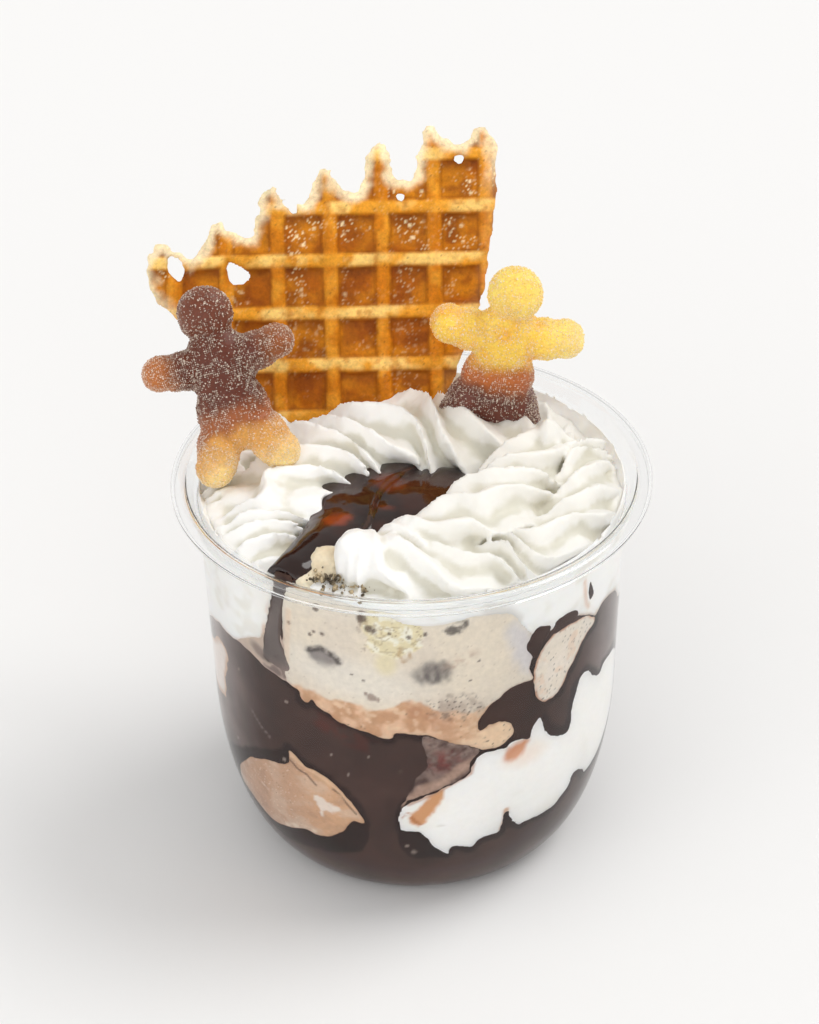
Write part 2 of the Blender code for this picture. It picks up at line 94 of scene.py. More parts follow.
def add_mesh(name, points, faces, colours=None, smooth=True):
    """A mesh object from points in millimetres, with a colour for each point."""
    mesh = bpy.data.meshes.new(name)
    mesh.from_pydata((np.asarray(points) * MM).tolist(), [], [tuple(face) for face in faces])
    if colours is not None:
        paint_mesh(mesh, colours)
    mesh.validate()
    if smooth:
        mesh.shade_smooth()
    return link(name, mesh)


def mesh_points(obj):
    """The mesh's points in millimetres."""
    flat = np.zeros(len(obj.data.vertices) * 3)
    obj.data.vertices.foreach_get("co", flat)
    return flat.reshape(-1, 3) / MM


def move_points(obj, points):
    obj.data.vertices.foreach_set("co", (points * MM).ravel())
    obj.data.update()


def point_normals(obj):
    flat = np.zeros(len(obj.data.vertices) * 3, np.float32)
    obj.data.vertex_normals.foreach_get("vector", flat)
    return flat.reshape(-1, 3).astype(float)


def hollows(obj, rounds):
    """How far each point lies below its smoothed surroundings, in millimetres."""
    ends = np.empty(2 * len(obj.data.edges), np.int32)
    obj.data.edges.foreach_get("vertices", ends)
    here, there = np.concatenate([ends[0::2], ends[1::2]]), np.concatenate([ends[1::2], ends[0::2]])
    points = mesh_points(obj)
    count = np.maximum(np.bincount(here, minlength=len(points)), 1)
    eased = points
    for _ in range(rounds):
        eased = np.stack([np.bincount(here, eased[there, k], len(points)) / count for k in range(3)], -1)
    return ((eased - points) * point_normals(obj)).sum(-1)


def apply_modifiers(obj):
    graph = bpy.context.evaluated_depsgraph_get()
    graph.update()
    made = bpy.data.meshes.new_from_object(obj.evaluated_get(graph))
    obj.modifiers.clear()
    obj.data = made


def melt(obj, voxel, smoothing=0):
    """One skin round overlapping closed shapes."""
    skin = obj.modifiers.new("melt", "REMESH")
    skin.mode = "VOXEL"
    skin.voxel_size = voxel * MM
    skin.use_smooth_shade = True
    if smoothing:
        ease = obj.modifiers.new("ease", "SMOOTH")
        ease.iterations = smoothing
    apply_modifiers(obj)


def two_sided(front, back, kept, wrap=False):
    """Points and faces of a closed solid between two grids, in the cells whose four points are kept."""
    across, along = front.shape[:2]
    index = np.arange(across * along).reshape(across, along)
    if wrap:
        index = np.concatenate([index, index[:1]])
        kept = np.concatenate([kept, kept[:1]])
    keep = kept[:-1, :-1] & kept[1:, :-1] & kept[1:, 1:] & kept[:-1, 1:]
    quads = np.stack([index[:-1, :-1], index[1:, :-1], index[1:, 1:], index[:-1, 1:]], -1)[keep]
    edges = np.concatenate([quads[:, [k, (k + 1) % 4]] for k in range(4)])
    keys = np.sort(edges, axis=1)
    _, first, count = np.unique(keys, axis=0, return_index=True, return_counts=True)
    rim = edges[first[count == 1]]
    total = across * along
    sides = np.stack([rim[:, 1], rim[:, 0], rim[:, 0] + total, rim[:, 1] + total], -1)
    faces = np.concatenate([quads, quads[:, ::-1] + total, sides])
    used, faces = np.unique(faces, return_inverse=True)
    points = np.concatenate([front.reshape(-1, 3), back.reshape(-1, 3)])[used]
    return points, faces.reshape(-1, 4), used % total


# Noise and outlines

TABLE_SIZE = 4096
CELL_FACTORS = np.array([73856093, 19349663, 83492791])


def table_place(cell):
    """A place in a random table for each cell of a lattice."""
    return np.bitwise_xor.reduce(cell * CELL_FACTORS[:cell.shape[1]], axis=1) & (TABLE_SIZE - 1)


def lattice_noise(points, seed):
    """Smooth noise from -1 to 1, a feature to each unit of length."""
    table = np.random.default_rng(seed).uniform(-1, 1, TABLE_SIZE)
    cell = np.floor(points).astype(np.int64)
    part = points - cell
    ease = part * part * (3 - 2 * part)
    total = np.zeros(len(points))
    for corner in itertools.product((0, 1), repeat=3):
        total += np.prod(np.where(corner, ease, 1 - ease), axis=1) * table[table_place(cell + corner)]
    return total


def fractal(points, size, seed, octaves=3):
    """Noise with features of a size in millimetres and finer ones on them."""
    total = np.zeros(len(points))
    for k in range(octaves):
        total += lattice_noise(points * (2 ** k / size) + 31.7 * k, seed + k) / 2 ** k
    return total


def between(before, start, stop, beyond, share):
    """The point at a share of the way from start to stop on a smooth curve through all four."""
    return 0.5 * (2 * start + (stop - before) * share
                  + (2 * before - 5 * start + 4 * stop - beyond) * share ** 2
                  + (3 * start - before - 3 * stop + beyond) * share ** 3)


def smooth_loop(outline, steps=4):
    """A closed curve through the outline's points."""
    points = np.asarray(outline, float)
    knots = [np.roll(points, shift, 0) for shift in (1, 0, -1, -2)]
    curve = [between(*knots, share) for share in np.arange(steps) / steps]
    return np.stack(curve, 1).reshape(-1, points.shape[1])


def wall_loop(outline, steps=4):
    """The same in millimetres along and up the wall, for an outline in degrees and millimetres."""
    return smooth_loop(np.asarray(outline, float) * (ARC, 1), steps)


def distance_inside(points, loop):
    """Distance of plane points from a closed loop, above 0 inside it."""
    nearest = np.full(len(points), np.inf)
    inside = np.zeros(len(points), bool)
    for start, end in zip(loop, np.roll(loop, -1, 0)):
        edge = end - start
        away = points - start
        share = np.clip(away @ edge / max(edge @ edge, 1e-9), 0, 1)
        nearest = np.minimum(nearest, ((away - share[:, None] * edge) ** 2).sum(1))
        if start[1] != end[1]:
            spans = (start[1] > points[:, 1]) != (end[1] > points[:, 1])
            inside ^= spans & (away[:, 0] < away[:, 1] * edge[0] / edge[1])
    return np.where(inside, 1, -1) * np.sqrt(nearest)


def ramp(values, low, high):
    """0 below low, 1 above high and smooth between."""
    share = np.clip((values - low) / (high - low), 0, 1)
    return share * share * (3 - 2 * share)


def mix(one, other, share):
    """Blend two colours, or a colour for each point, by a share for each point."""
    share = np.asarray(share)[..., None]
    return np.asarray(one) * (1 - share) + np.asarray(other) * share


def linear(red, green, blue):
    """A colour as seen, 0 to 255, in linear light."""
    parts = np.array([red, green, blue]) / 255
    return np.where(parts <= 0.04045, parts / 12.92, ((parts + 0.055) / 1.055) ** 2.4)


def polar(angle, radius, height):
    turn = np.radians(angle)
    return np.stack(np.broadcast_arrays(radius * np.sin(turn), -radius * np.cos(turn), height), -1)


def wall_section(height, depth):
    """Radius and height of the point that lies a depth below the cup's outer face."""
    height, depth = np.broadcast_arrays(np.asarray(height, float), depth)
    belly = height < BELLY_HEIGHT
    turn = np.arccos(1 - np.clip(height, 0, BELLY_HEIGHT) / BELLY_HEIGHT)
    bulge = BASE_RADIUS + (BELLY_RADIUS - BASE_RADIUS) * np.sin(turn)
    steep = np.arctan2(BELLY_HEIGHT * np.sin(turn), (BELLY_RADIUS - BASE_RADIUS) * np.cos(turn))
    rise = (height - BELLY_HEIGHT) / (SHOULDER_HEIGHT - BELLY_HEIGHT)
    straight = BELLY_RADIUS + (SHOULDER_RADIUS - BELLY_RADIUS) * np.minimum(rise, 1.1)
    radius = np.where(belly, bulge - depth * np.sin(steep), straight - depth)
    return radius, np.where(belly, height + depth * np.cos(steep), height)


def wall_points(angle, height, depth):
    radius, lifted = wall_section(height, depth)
    return polar(angle, radius, lifted)


# Materials

def new_material(name):
    made = bpy.data.materials.new(name)
    made.use_nodes = True
    return made, made.node_tree, made.node_tree.nodes["Principled BSDF"]


def add_node(tree, kind, inputs=None, **settings):
    made = tree.nodes.new("ShaderNode" + kind)
    for key, value in settings.items():
        setattr(made, key, value)
    for key, value in (inputs or {}).items():
        made.inputs[key].default_value = value
    return made


def grain(tree, size, detail=3.0, roughness=0.55):
    """A noise node with features of a size in millimetres."""
    place = add_node(tree, "TexCoord")
    noise = add_node(tree, "TexNoise", {"Scale": 1 / (size * MM), "Detail": detail, "Roughness": roughness})
    tree.links.new(place.outputs["Object"], noise.inputs["Vector"])
    return noise.outputs["Fac"]


def tint(tree, colour, fac, dark, light):
    """Multiply a colour by a grey between dark and light as fac goes from 0.3 to 0.7."""
    spread = add_node(tree, "MapRange", {"From Min": 0.3, "From Max": 0.7, "To Min": dark, "To Max": light})
    tree.links.new(fac, spread.inputs["Value"])
    made = add_node(tree, "VectorMath", operation="MULTIPLY")
    tree.links.new(colour, made.inputs[0])
    tree.links.new(spread.outputs["Result"], made.inputs[1])
    return made.outputs["Vector"]


def bump(tree, shader, parts):
    """Relief from (socket, height in millimetres, strength) parts, one on the other."""
    normal = None
    for socket, height, strength in parts:
        relief = add_node(tree, "Bump", {"Distance": height * MM, "Strength": strength})
        tree.links.new(socket, relief.inputs["Height"])
        if normal:
            tree.links.new(normal, relief.inputs["Normal"])
        normal = relief.outputs["Normal"]
    tree.links.new(normal, shader.inputs["Normal"])


def painted(tree):
    return add_node(tree, "Attribute", attribute_name="tone").outputs["Color"]


def set_inputs(shader, **values):
    names = {"specular": "Specular IOR Level", "coat": "Coat Weight", "coat_rough": "Coat Roughness",
             "sub": "Subsurface Weight", "sub_scale": "Subsurface Scale", "sub_radius": "Subsurface Radius",
             "rough": "Roughness", "glass": "Transmission Weight", "ior": "IOR", "base": "Base Color"}
    for key, value in values.items():
        shader.inputs[names[key]].default_value = value


def clear_plastic():
    made, tree, shader = new_material("clear_plastic")
    set_inputs(shader, base=(0.985, 0.99, 0.99, 1), rough=0.02, glass=1.0, ior=1.36)
    output = tree.nodes["Material Output"]
    through = add_node(tree, "BsdfTransparent", {"Color": (0.97, 0.975, 0.975, 1)})
    path = add_node(tree, "LightPath")
    join = add_node(tree, "MixShader")
    tree.links.new(path.outputs["Is Shadow Ray"], join.inputs["Fac"])
    tree.links.new(shader.outputs["BSDF"], join.inputs[1])
    tree.links.new(through.outputs["BSDF"], join.inputs[2])
    tree.links.new(join.outputs["Shader"], output.inputs["Surface"])
    bump(tree, shader, [(grain(tree, 14, 1.0), 0.6, 0.12)])
    return made


def food_material(name, tints, reliefs, **values):
    """Food with its painted colour broken up by grains, and relief from grains on it.

    tints are (grain, dark, light) and reliefs (grain, height in millimetres, strength).
    """
    made, tree, shader = new_material(name)
    colour = painted(tree)
    for size, dark, light in tints:
        colour = tint(tree, colour, grain(tree, *size), dark, light)
    tree.links.new(colour, shader.inputs["Base Color"])
    set_inputs(shader, **values)
    if reliefs:
        bump(tree, shader, [(grain(tree, *size), height, strength) for size, height, strength in reliefs])
    return made


def wall_food(name, rough=0.5, sub=0.15, dark=0.93, light=1.05, grain_size=1.2, specular=0.25):
    """Food pressed against the plastic."""
    fine = (grain_size, 4.0)
    return food_material(name, [(fine, dark, light)], [(fine, 0.12, 0.5)], rough=rough, specular=specular,
                         sub=sub, sub_scale=0.002, sub_radius=(1, 0.8, 0.6))


def sauce_material(name, rough, specular, coat, relief):
    waves = [((5, 2.0), 0.5 * relief, 0.35), ((0.9, 2.0), 0.06 * relief, 0.3)]
    return food_material(name, [((9, 2.0), 0.75, 1.25)], waves, rough=rough, specular=specular,
                         coat=coat, coat_rough=0.06)


def cream_material():
    return food_material("whipped_cream", [((6, 2.0), 0.985, 1.01)],
                         [((2.6, 3.0), 0.4, 0.4), ((0.55, 3.0), 0.07, 0.4)],
                         rough=0.42, specular=0.35, sub=0.2, sub_scale=0.0016, sub_radius=(1, 0.9, 0.75))


def waffle_material():
    fine = (0.8, 5.0, 0.65)
    return food_material("waffle", [(fine, 0.80, 1.18), ((4.5, 3.0), 0.86, 1.12)],
                         [((2.2, 4.0), 0.35, 0.5), (fine, 0.16, 0.6)],
                         rough=0.45, specular=0.14, sub=0.12, sub_scale=0.0012, sub_radius=(1, 0.5, 0.08))


def sugar_material():
    return food_material("sugar", [((0.4, 1.0), 0.88, 1.1)], [],
                         rough=0.12, specular=0.7, sub=0.2, sub_scale=0.0006, sub_radius=(1, 0.9, 0.8))


def crumb_material():
    fine = (0.35, 4.0)
    return food_material("cookie_crumb", [(fine, 0.55, 1.5)], [(fine, 0.1, 0.8)], rough=0.75, specular=0.3)


def gummy_material(name, frost):
    """Soft jelly with a paler edge, where the fine sugar is seen side on."""
    made, tree, shader = new_material(name)
    fine = grain(tree, 0.5, 3.0)
    edge = add_node(tree, "LayerWeight", {"Blend": 0.3})
    pale = add_node(tree, "VectorMath", operation="MULTIPLY_ADD")
    pale.inputs[0].default_value = frost
    tree.links.new(edge.outputs["Facing"], pale.inputs[1])
    tree.links.new(tint(tree, painted(tree), fine, 0.85, 1.15), pale.inputs[2])
    tree.links.new(pale.outputs["Vector"], shader.inputs["Base Color"])
    set_inputs(shader, rough=0.4, specular=0.35, sub=0.5, sub_scale=0.003, sub_radius=(1, 0.5, 0.2))
    bump(tree, shader, [(fine, 0.12, 0.7)])
    return made


def finish(obj, material, slot, *nodes):
    """Give the piece its material and its body, and hide the nodes it stands for; slot is not used."""
    obj.data.materials.clear()
    obj.data.materials.append(material)
    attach(obj, "root")
    if nodes:
        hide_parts(*nodes)
    return obj


# The cup

CUP_SEGMENTS = 192
BELLY_STEPS = 26
LIP_STEPS = 22


def cup_section(offset):
    """Points of the wall from the base's middle to the lip's tip, moved inwards by the offset."""
    points = [(0, offset), (BASE_RADIUS * 0.55, offset), (BASE_RADIUS * 0.9, offset)]
    for turn in np.linspace(0, math.pi / 2, BELLY_STEPS):
        height = BELLY_HEIGHT * (1 - math.cos(turn))
        radius, lifted = wall_section(height, offset)
        points.append((float(radius), float(lifted)))
    points += [(float(wall_section(height, offset)[0]), height)
               for height in np.linspace(BELLY_HEIGHT + 4, SHOULDER_HEIGHT - 0.5, 10)]
    points += [(SHOULDER_RADIUS - offset, SHOULDER_HEIGHT - 0.1),
               (SHOULDER_RADIUS + 0.35 - offset, SHOULDER_HEIGHT + 0.35),
               (SHOULDER_RADIUS + LEDGE_WIDTH - 0.2 - offset, SHOULDER_HEIGHT + 0.75),
               (SHOULDER_RADIUS + LEDGE_WIDTH - offset, SHOULDER_HEIGHT + LEDGE_HEIGHT)]
    centre = (RIM_RADIUS - LIP_BEND, CUP_HEIGHT - LIP_BEND)
    bend = LIP_BEND if offset else LIP_BEND - WALL
    for turn in np.radians(np.linspace(165, -35, LIP_STEPS)):
        points.append((centre[0] + bend * math.cos(turn), centre[1] + bend * math.sin(turn)))
    return points


def revolve(section, angles):
    """Points and faces of a closed section turned to each angle about Z; its ends lie on the axis."""
    inner = np.array(section[1:-1])
    segments = len(angles)
    rings = polar(angles[None, :], inner[:, :1], inner[:, 1:])
    count = len(inner)
    points = np.concatenate([rings.reshape(-1, 3), [(0, 0, section[0][1]), (0, 0, section[-1][1])]])
    index = np.arange(count * segments).reshape(count, segments)
    after = np.roll(index, -1, axis=1)
    faces = np.stack([index[:-1], after[:-1], after[1:], index[1:]], -1).reshape(-1, 4).tolist()
    faces += [(after[0, k], index[0, k], count * segments) for k in range(segments)]
    faces += [(index[-1, k], after[-1, k], count * segments + 1) for k in range(segments)]
    return points, faces


def make_cup():
    section = cup_section(0) + cup_section(WALL)[::-1]
    cup = add_mesh("cup_shell", *revolve(section, 360 * np.arange(CUP_SEGMENTS) / CUP_SEGMENTS))
    return finish(cup, clear_plastic(), "clear_plastic", "cup")


# Sauce behind the wall

SAUCE_TOP = 74.0
# sauce brown greyed by a painted reflection of the plastic
FUDGE_WITH_SHEEN = linear(70, 47, 41)
FUDGE_WET = linear(36, 14, 8)
FUDGE_WARM = linear(58, 34, 26)
FUDGE_RED = linear(92, 38, 26)
# pale painted reflection on the sauce towards the sides of the cup
FUDGE_PAINTED_REFLECTION = linear(158, 144, 140)
# the drip's sauce brown greyed by a painted reflection
FUDGE_DRIP_SHEEN = linear(116, 105, 101)
SAUCE_STEP = 0.6      # millimetres up the straight wall
FRONT_TURN = 0.6      # degrees between the sections on the shown side, and on the far side
BACK_TURN = 2.0


def make_sauce():
    turns = np.linspace(0, math.pi / 2, 80)
    section = [(0, SAUCE_DEPTH), (BASE_RADIUS * 0.5, SAUCE_DEPTH), (BASE_RADIUS * 0.9, SAUCE_DEPTH)]
    for height in BELLY_HEIGHT * (1 - np.cos(turns)):
        radius, lifted = wall_section(height, SAUCE_DEPTH)
        section.append((float(radius), float(lifted)))
    for height in np.arange(BELLY_HEIGHT + SAUCE_STEP, SAUCE_TOP, SAUCE_STEP):
        section.append((float(wall_section(height, SAUCE_DEPTH)[0]), height))
    section += [(38.0, SAUCE_TOP), (20.0, SAUCE_TOP - 2), (0, SAUCE_TOP - 2)]
    angles = np.concatenate([np.arange(-90, 90, FRONT_TURN), np.arange(90, 270, BACK_TURN)])
    points, faces = revolve(section, angles)
    angle = np.degrees(np.arctan2(points[:, 0], -points[:, 1]))
    obj = add_mesh("sauce_fill", points, faces, sauce_paint(angle, points[:, 2], points))
    return finish(obj, sauce_material("fudge_sauce", 0.4, 0.06, 0.0, 0.2), "fudge", "fudge_sauce")


# Paint on the wall; places are in degrees round the cup and millimetres up

def on_wall(angle, height):
    return np.stack([angle * ARC, height], -1)


def spot(angle, height, centre, size, soft=0.35, turn=0.0):
    """How far each wall point is inside an oval, from 0 to 1 with a soft edge."""
    x = (angle - centre[0]) * ARC
    z = height - centre[1]
    cos, sin = math.cos(math.radians(turn)), math.sin(math.radians(turn))
    reach = np.hypot((x * cos + z * sin) / size[0], (-x * sin + z * cos) / size[1])
    return 1 - ramp(reach, 1 - soft, 1 + soft)


def area(angle, height, outline, soft=0.4, rough=0):
    """How far each wall point is inside an outline, from 0 to 1; rough shifts the edge."""
    return ramp(distance_inside(on_wall(angle, height), wall_loop(outline)) + rough, -soft, soft)


def stroke(angle, height, line, wide, soft=0.3):
    """How near each wall point is to a line, 1 within its half width."""
    line = np.asarray(line, float) * (ARC, 1)
    points = on_wall(angle, height)
    nearest = np.full(len(points), np.inf)
    for start, end in zip(line, line[1:]):
        edge = end - start
        share = np.clip((points - start) @ edge / (edge @ edge), 0, 1)
        nearest = np.minimum(nearest, np.linalg.norm(points - start - share[:, None] * edge, axis=1))
    return 1 - ramp(nearest, wide, wide + soft)


def dots(angle, height, places):
    """Round dots at (degrees, millimetres, radius) places."""
    total = np.zeros(len(angle))
    for x, z, size in places:
        total = np.maximum(total, spot(angle, height, (x, z), (size, size), 0.35))
    return total


def specks(place, pitch, size, seed, share=0.7):
    """Scattered specks on plane points, up to one in each square of a pitch, 1 inside them."""
    table = np.random.default_rng(seed).random((TABLE_SIZE, 4))
    place = place / pitch
    cell = np.floor(place).astype(np.int64)
    total = np.zeros(len(place))
    for step in itertools.product((-1, 0, 1), repeat=2):
        at = cell + step
        x, y, large, chance = table[table_place(at)].T
        reach = np.hypot(place[:, 0] - at[:, 0] - x, place[:, 1] - at[:, 1] - y) * pitch
        radius = size * (0.4 + 0.8 * large)
        total = np.maximum(total, (1 - ramp(reach, radius * 0.5, radius * 1.2)) * (chance < share))
    return total


def wall_grid(outline, step):
    low, high = outline.min(0) - GRID_MARGIN, outline.max(0) + GRID_MARGIN
    across = np.arange(low[0], high[0] + step, step)
    along = np.arange(low[1], high[1] + step, step)
    return np.stack(np.meshgrid(across, along, indexing="ij"), -1)


def wall_patch(name, outline, depth, paint, thick, wobble, seed, step):
    """A closed lens of food behind the plastic, inside an outline of (degrees, millimetres).

    paint gives its colours from the degrees, the millimetres up, the distance inside the
    outline and the place in space.
    """
    loop = wall_loop(outline, 6)
    grid = wall_grid(loop, step)
    flat = grid.reshape(-1, 2)
    angle, height = flat[:, 0] / ARC, flat[:, 1]
    middle = wall_points(angle, height, 0)
    rough = fractal(middle, 2.6, seed) + 0.5 * fractal(middle, 1.0, seed, 2)
    inside = distance_inside(flat, loop) + wobble * rough
    sunk = depth + 0.30 * (1 - ramp(inside, -0.5, 0.45))
    front = wall_points(angle, height, sunk)
    back = wall_points(angle, height, sunk + 0.25 + thick * ramp(inside, 0, 7))
    front, back = (side.reshape(*grid.shape[:2], 3) for side in (front, back))
    points, faces, source = two_sided(front, back, inside.reshape(grid.shape[:2]) > -EDGE_REACH)
    colour = paint(angle, height, inside, middle)
    return add_mesh(name, points, faces, colour[source])


BEIGE = linear(234, 223, 206)
BEIGE_GREY = linear(222, 211, 198)
BEIGE_WHITE = linear(234, 228, 218)
TAN = linear(202, 152, 112)
TAN_LIGHT = linear(232, 192, 158)
TAN_PALE = linear(240, 212, 180)
COOKIE = linear(74, 66, 64)
COOKIE_GREY = linear(140, 132, 130)
COOKIE_BROWN = linear(128, 100, 80)
CRUMB_YELLOW = linear(232, 221, 186)
CRUMB_PALE = linear(247, 243, 228)
SPECKLED = linear(236, 226, 214)
MOCHA = linear(200, 162, 134)
MOCHA_TAN = linear(214, 172, 136)
MOCHA_LIGHT = linear(222, 202, 184)
CREAM = linear(252, 250, 246)
CREAM_SHADE = linear(228, 223, 212)
CARAMEL = linear(186, 118, 66)

SCOOP_OUTLINE = [
    (-37, 79), (-36.9, 75.7), (-36.9, 65.7), (-37.6, 56.5), (-35.8, 54.7), (-33.2, 54.2), (-32.4, 52.4),
    (-30.6, 51.9), (-29, 53), (-27.4, 51.8), (-24.1, 50.5), (-21.5, 49.3), (-17.7, 48.3), (-13.9, 47.6),
    (-9.5, 46.6), (-7, 46.8), (-5.2, 48), (1, 47.7), (8.2, 45.4), (14.5, 43.4), (18.5, 41.9), (23.2, 41.8),
    (27.7, 43.9), (27.2, 46.2), (24.5, 47.8), (20.5, 48), (17.4, 46.9), (17, 49.2), (19.3, 52), (22.6, 54),
    (26.5, 55.7), (32.9, 55.8), (32, 58.8), (33.4, 61.8), (36.4, 64.4), (39.5, 68.1), (37, 76), (20, 77.8),
    (0, 78.4), (-14, 78.7), (-26, 79),
]
BAND_TOP = [
    (-38, 54), (-35.8, 55.1), (-32, 55.7), (-26.5, 55.1), (-21.2, 54.5), (-16, 54.5), (-11.1, 53.7),
    (-7.4, 54.5), (-3.1, 56.1), (0.5, 56.4), (6.3, 53), (15.1, 52.2), (20, 52.4), (26, 54.5), (34, 55),
]
COOKIE_LEFT = [
    (-29.2, 65.4), (-25.6, 66.9), (-20.5, 65.3), (-20.2, 64), (-23.3, 61.4), (-26, 61.4), (-28.5, 63.6),
]
COOKIE_RIGHT = [(-0.4, 63), (1.9, 65), (7.7, 65.2), (9.4, 63.9), (8.7, 60.9), (4.4, 60.4), (0.5, 60.8)]
COOKIE_TOP = [(7.4, 72.4), (9.8, 74.2), (13.6, 74.2), (13, 72.4), (10.2, 71.7)]
CAKE = [
    (-12.9, 75.9), (-8.4, 77.6), (-2.7, 76.1), (1.8, 73.4), (1.6, 69.1), (-1.8, 67.6), (-4.6, 66.5),
    (-10.5, 67.3), (-12.6, 68.6), (-11.9, 70.9), (-13.6, 72.9),
]
BLUE_SMEAR = [(24.2, 70), (27.8, 71), (32, 66.3), (33.4, 61.2), (32.9, 57.3), (29.8, 59.1), (26.6, 63.6)]
PEPPER = [(5.4, 56.5), (15.1, 56), (18.8, 52.6), (14, 51), (7, 52), (3.6, 54.7)]


DARK_SPECKS = [
    (-26, 75.6, 0.6), (-28.2, 69, 0.42), (-27.1, 69.9, 0.36), (-24.5, 70, 0.5), (-34.5, 70.2, 0.4),
    (-13.5, 75.4, 1), (-11.8, 73.1, 0.8), (-10.6, 72.6, 0.5), (2.7, 72.1, 0.42), (-6.5, 72.2, 0.35),
    (-16.9, 61.5, 0.3), (-13.6, 60.6, 0.32), (14.6, 60, 0.3), (16.9, 64.2, 0.25), (-1.5, 71.5, 0.5),
]
LOW_SPECKS = [(-11.6, 56.6, 0.9), (-10, 56.1, 0.6), (-13.4, 57.3, 0.5)]


def scoop_ground(angle, height, at, rough):
    """Beige ice cream with paler and bluish places."""
    colour = mix(BEIGE, BEIGE_GREY, ramp(fractal(at, 7, 21), -0.5, 0.7) * 0.5)
    colour = mix(colour, BEIGE_WHITE, spot(angle, height, (-17, 60.5), (14, 4.6), 0.6, -8) * 0.7)
    colour = mix(colour, BEIGE_WHITE, ramp(height, 72, 78) * 0.5)
    return mix(colour, linear(214, 212, 218), area(angle, height, BLUE_SMEAR, 1.6, rough) * 0.65)


def add_band(colour, angle, height, at, rough):
    """The tan melted band along the low edge, and how far each point is in it."""
    band_edge = np.interp(angle, *zip(*BAND_TOP))
    band = ramp(band_edge + 0.7 * fractal(at, 2.4, 31) - height, -0.5, 0.5)
    tone = mix(TAN, TAN_LIGHT, ramp(fractal(at, 2.6, 33), -0.4, 0.5))
    tone = mix(tone, TAN_PALE, ramp(fractal(at, 1.3, 35, 2), 0.25, 0.8) * 0.6)
    tone = mix(tone, linear(186, 128, 90), ramp(fractal(at, 3.8, 37), 0.45, 0.9) * 0.5)
    tone = mix(tone, TAN_PALE, ramp(angle, 6, 16) * (0.45 + 0.3 * fractal(at * (1, 1, 2), 1.4, 39)))
    colour = mix(colour, tone, band * 0.92)
    line = 1 - ramp(np.abs(height - band_edge + 0.9 + rough), 0.1, 0.7)
    return mix(colour, TAN_PALE, line * 0.15), band


def add_cookies(colour, angle, height, at, rough):
    """Blurred cookie pieces at the left, at the right and near the top."""
    left = area(angle, height, COOKIE_LEFT, 0.9, rough)
    colour = mix(colour, COOKIE_GREY, left * ramp(height, 61.0, 64.0) * 0.9)
    crest = stroke(angle, height, [(-29.0, 65.2), (-25.4, 66.4), (-21.0, 64.9), (-20.4, 63.9)], 0.28, 0.7)
    colour = mix(colour, COOKIE, crest * np.clip(0.75 + 1.1 * fractal(at, 0.8, 303), 0, 1) * 0.85)
    comb = np.clip(0.85 + 0.3 * fractal(at * (1.4, 1.4, 0.8), 1.5, 305), 0, 1)
    right = area(angle, height, COOKIE_RIGHT, 1.2, rough)
    colour = mix(colour, mix(COOKIE_GREY, COOKIE, 0.55), right * comb * 0.95)
    brown = spot(angle, height, (12.0, 65.0), (3.0, 1.3), 0.7, 25)
    colour = mix(colour, linear(188, 158, 138), brown * np.clip(0.6 + fractal(at, 1.0, 307), 0, 1) * 0.7)
    top = area(angle, height, COOKIE_TOP, 0.4, rough)
    return mix(colour, COOKIE, top * np.clip(0.85 + fractal(at, 0.9, 309), 0, 1) * 0.85)


def add_cake(colour, angle, height, at, rough):
    """A crumbly yellow piece of cake with a brown edge and a fine curl."""
    cake = area(angle, height, CAKE, 0.35, rough)
    crumb = mix(CRUMB_YELLOW, CRUMB_PALE, ramp(fractal(at, 1.2, 51), -0.2, 0.5))
    crumb = mix(crumb, linear(176, 156, 116), ramp(np.abs(fractal(at, 1.7, 53, 2)), 0.14, 0.02) * 0.6)
    crumb = mix(crumb, linear(150, 120, 84), specks(on_wall(angle, height), 1.2, 0.14, 55, 0.5) * 0.7)
    colour = mix(colour, crumb, cake)
    edge = stroke(angle, height, [(-13.6, 76.2), (-14.4, 72.9), (-12.9, 69.6), (-13.6, 67.8)], 0.18, 0.5)
    colour = mix(colour, COOKIE_BROWN, edge * np.clip(0.6 + 1.2 * fractal(at, 1.0, 311), 0, 1) * 0.7)
    colour = mix(colour, CRUMB_YELLOW, spot(angle, height, (-7.6, 65.0), (2.0, 2.6), 0.5) * 0.8)
    line = [(-3.6, 69.0), (-4.2, 67.2), (-3.0, 65.6), (-1.2, 66.4), (-1.4, 68.0)]
    curl = stroke(angle, height, line, 0.1, 0.5) * np.clip(0.6 + fractal(at, 1.0, 313), 0, 1)
    return mix(colour, linear(184, 150, 106), curl * 0.7)


def add_pepper(colour, angle, height, at, rough, band):
    """Dark dust at the right of the band, and fine specks all over the scoop."""
    pepper = area(angle, height, PEPPER, 1.6, rough)
    place = on_wall(angle, height)
    colour = mix(colour, linear(176, 158, 144), pepper * np.clip(0.5 + fractal(at, 1.8, 315), 0, 1) * 0.7)
    colour = mix(colour, linear(108, 90, 80), pepper * ramp(fractal(at, 1.5, 317, 2), 0.1, 0.6) * 0.8)
    dust = np.maximum(specks(place, 0.55, 0.12, 61, 0.7), specks(place, 1.4, 0.3, 63, 0.4))
    colour = mix(colour, linear(60, 48, 44), dust * pepper * 0.85)
    colour = mix(colour, COOKIE_BROWN, specks(place, 1.7, 0.13, 65, 0.6) * (0.25 + 0.5 * band))
    hook = spot(angle, height, (23.0, 44.9), (5.0, 2.7), 0.3)
    colour = mix(colour, TAN_PALE, hook * 0.75)
    return mix(colour, linear(92, 66, 52), hook * specks(place, 1.1, 0.2, 67) * 0.8)


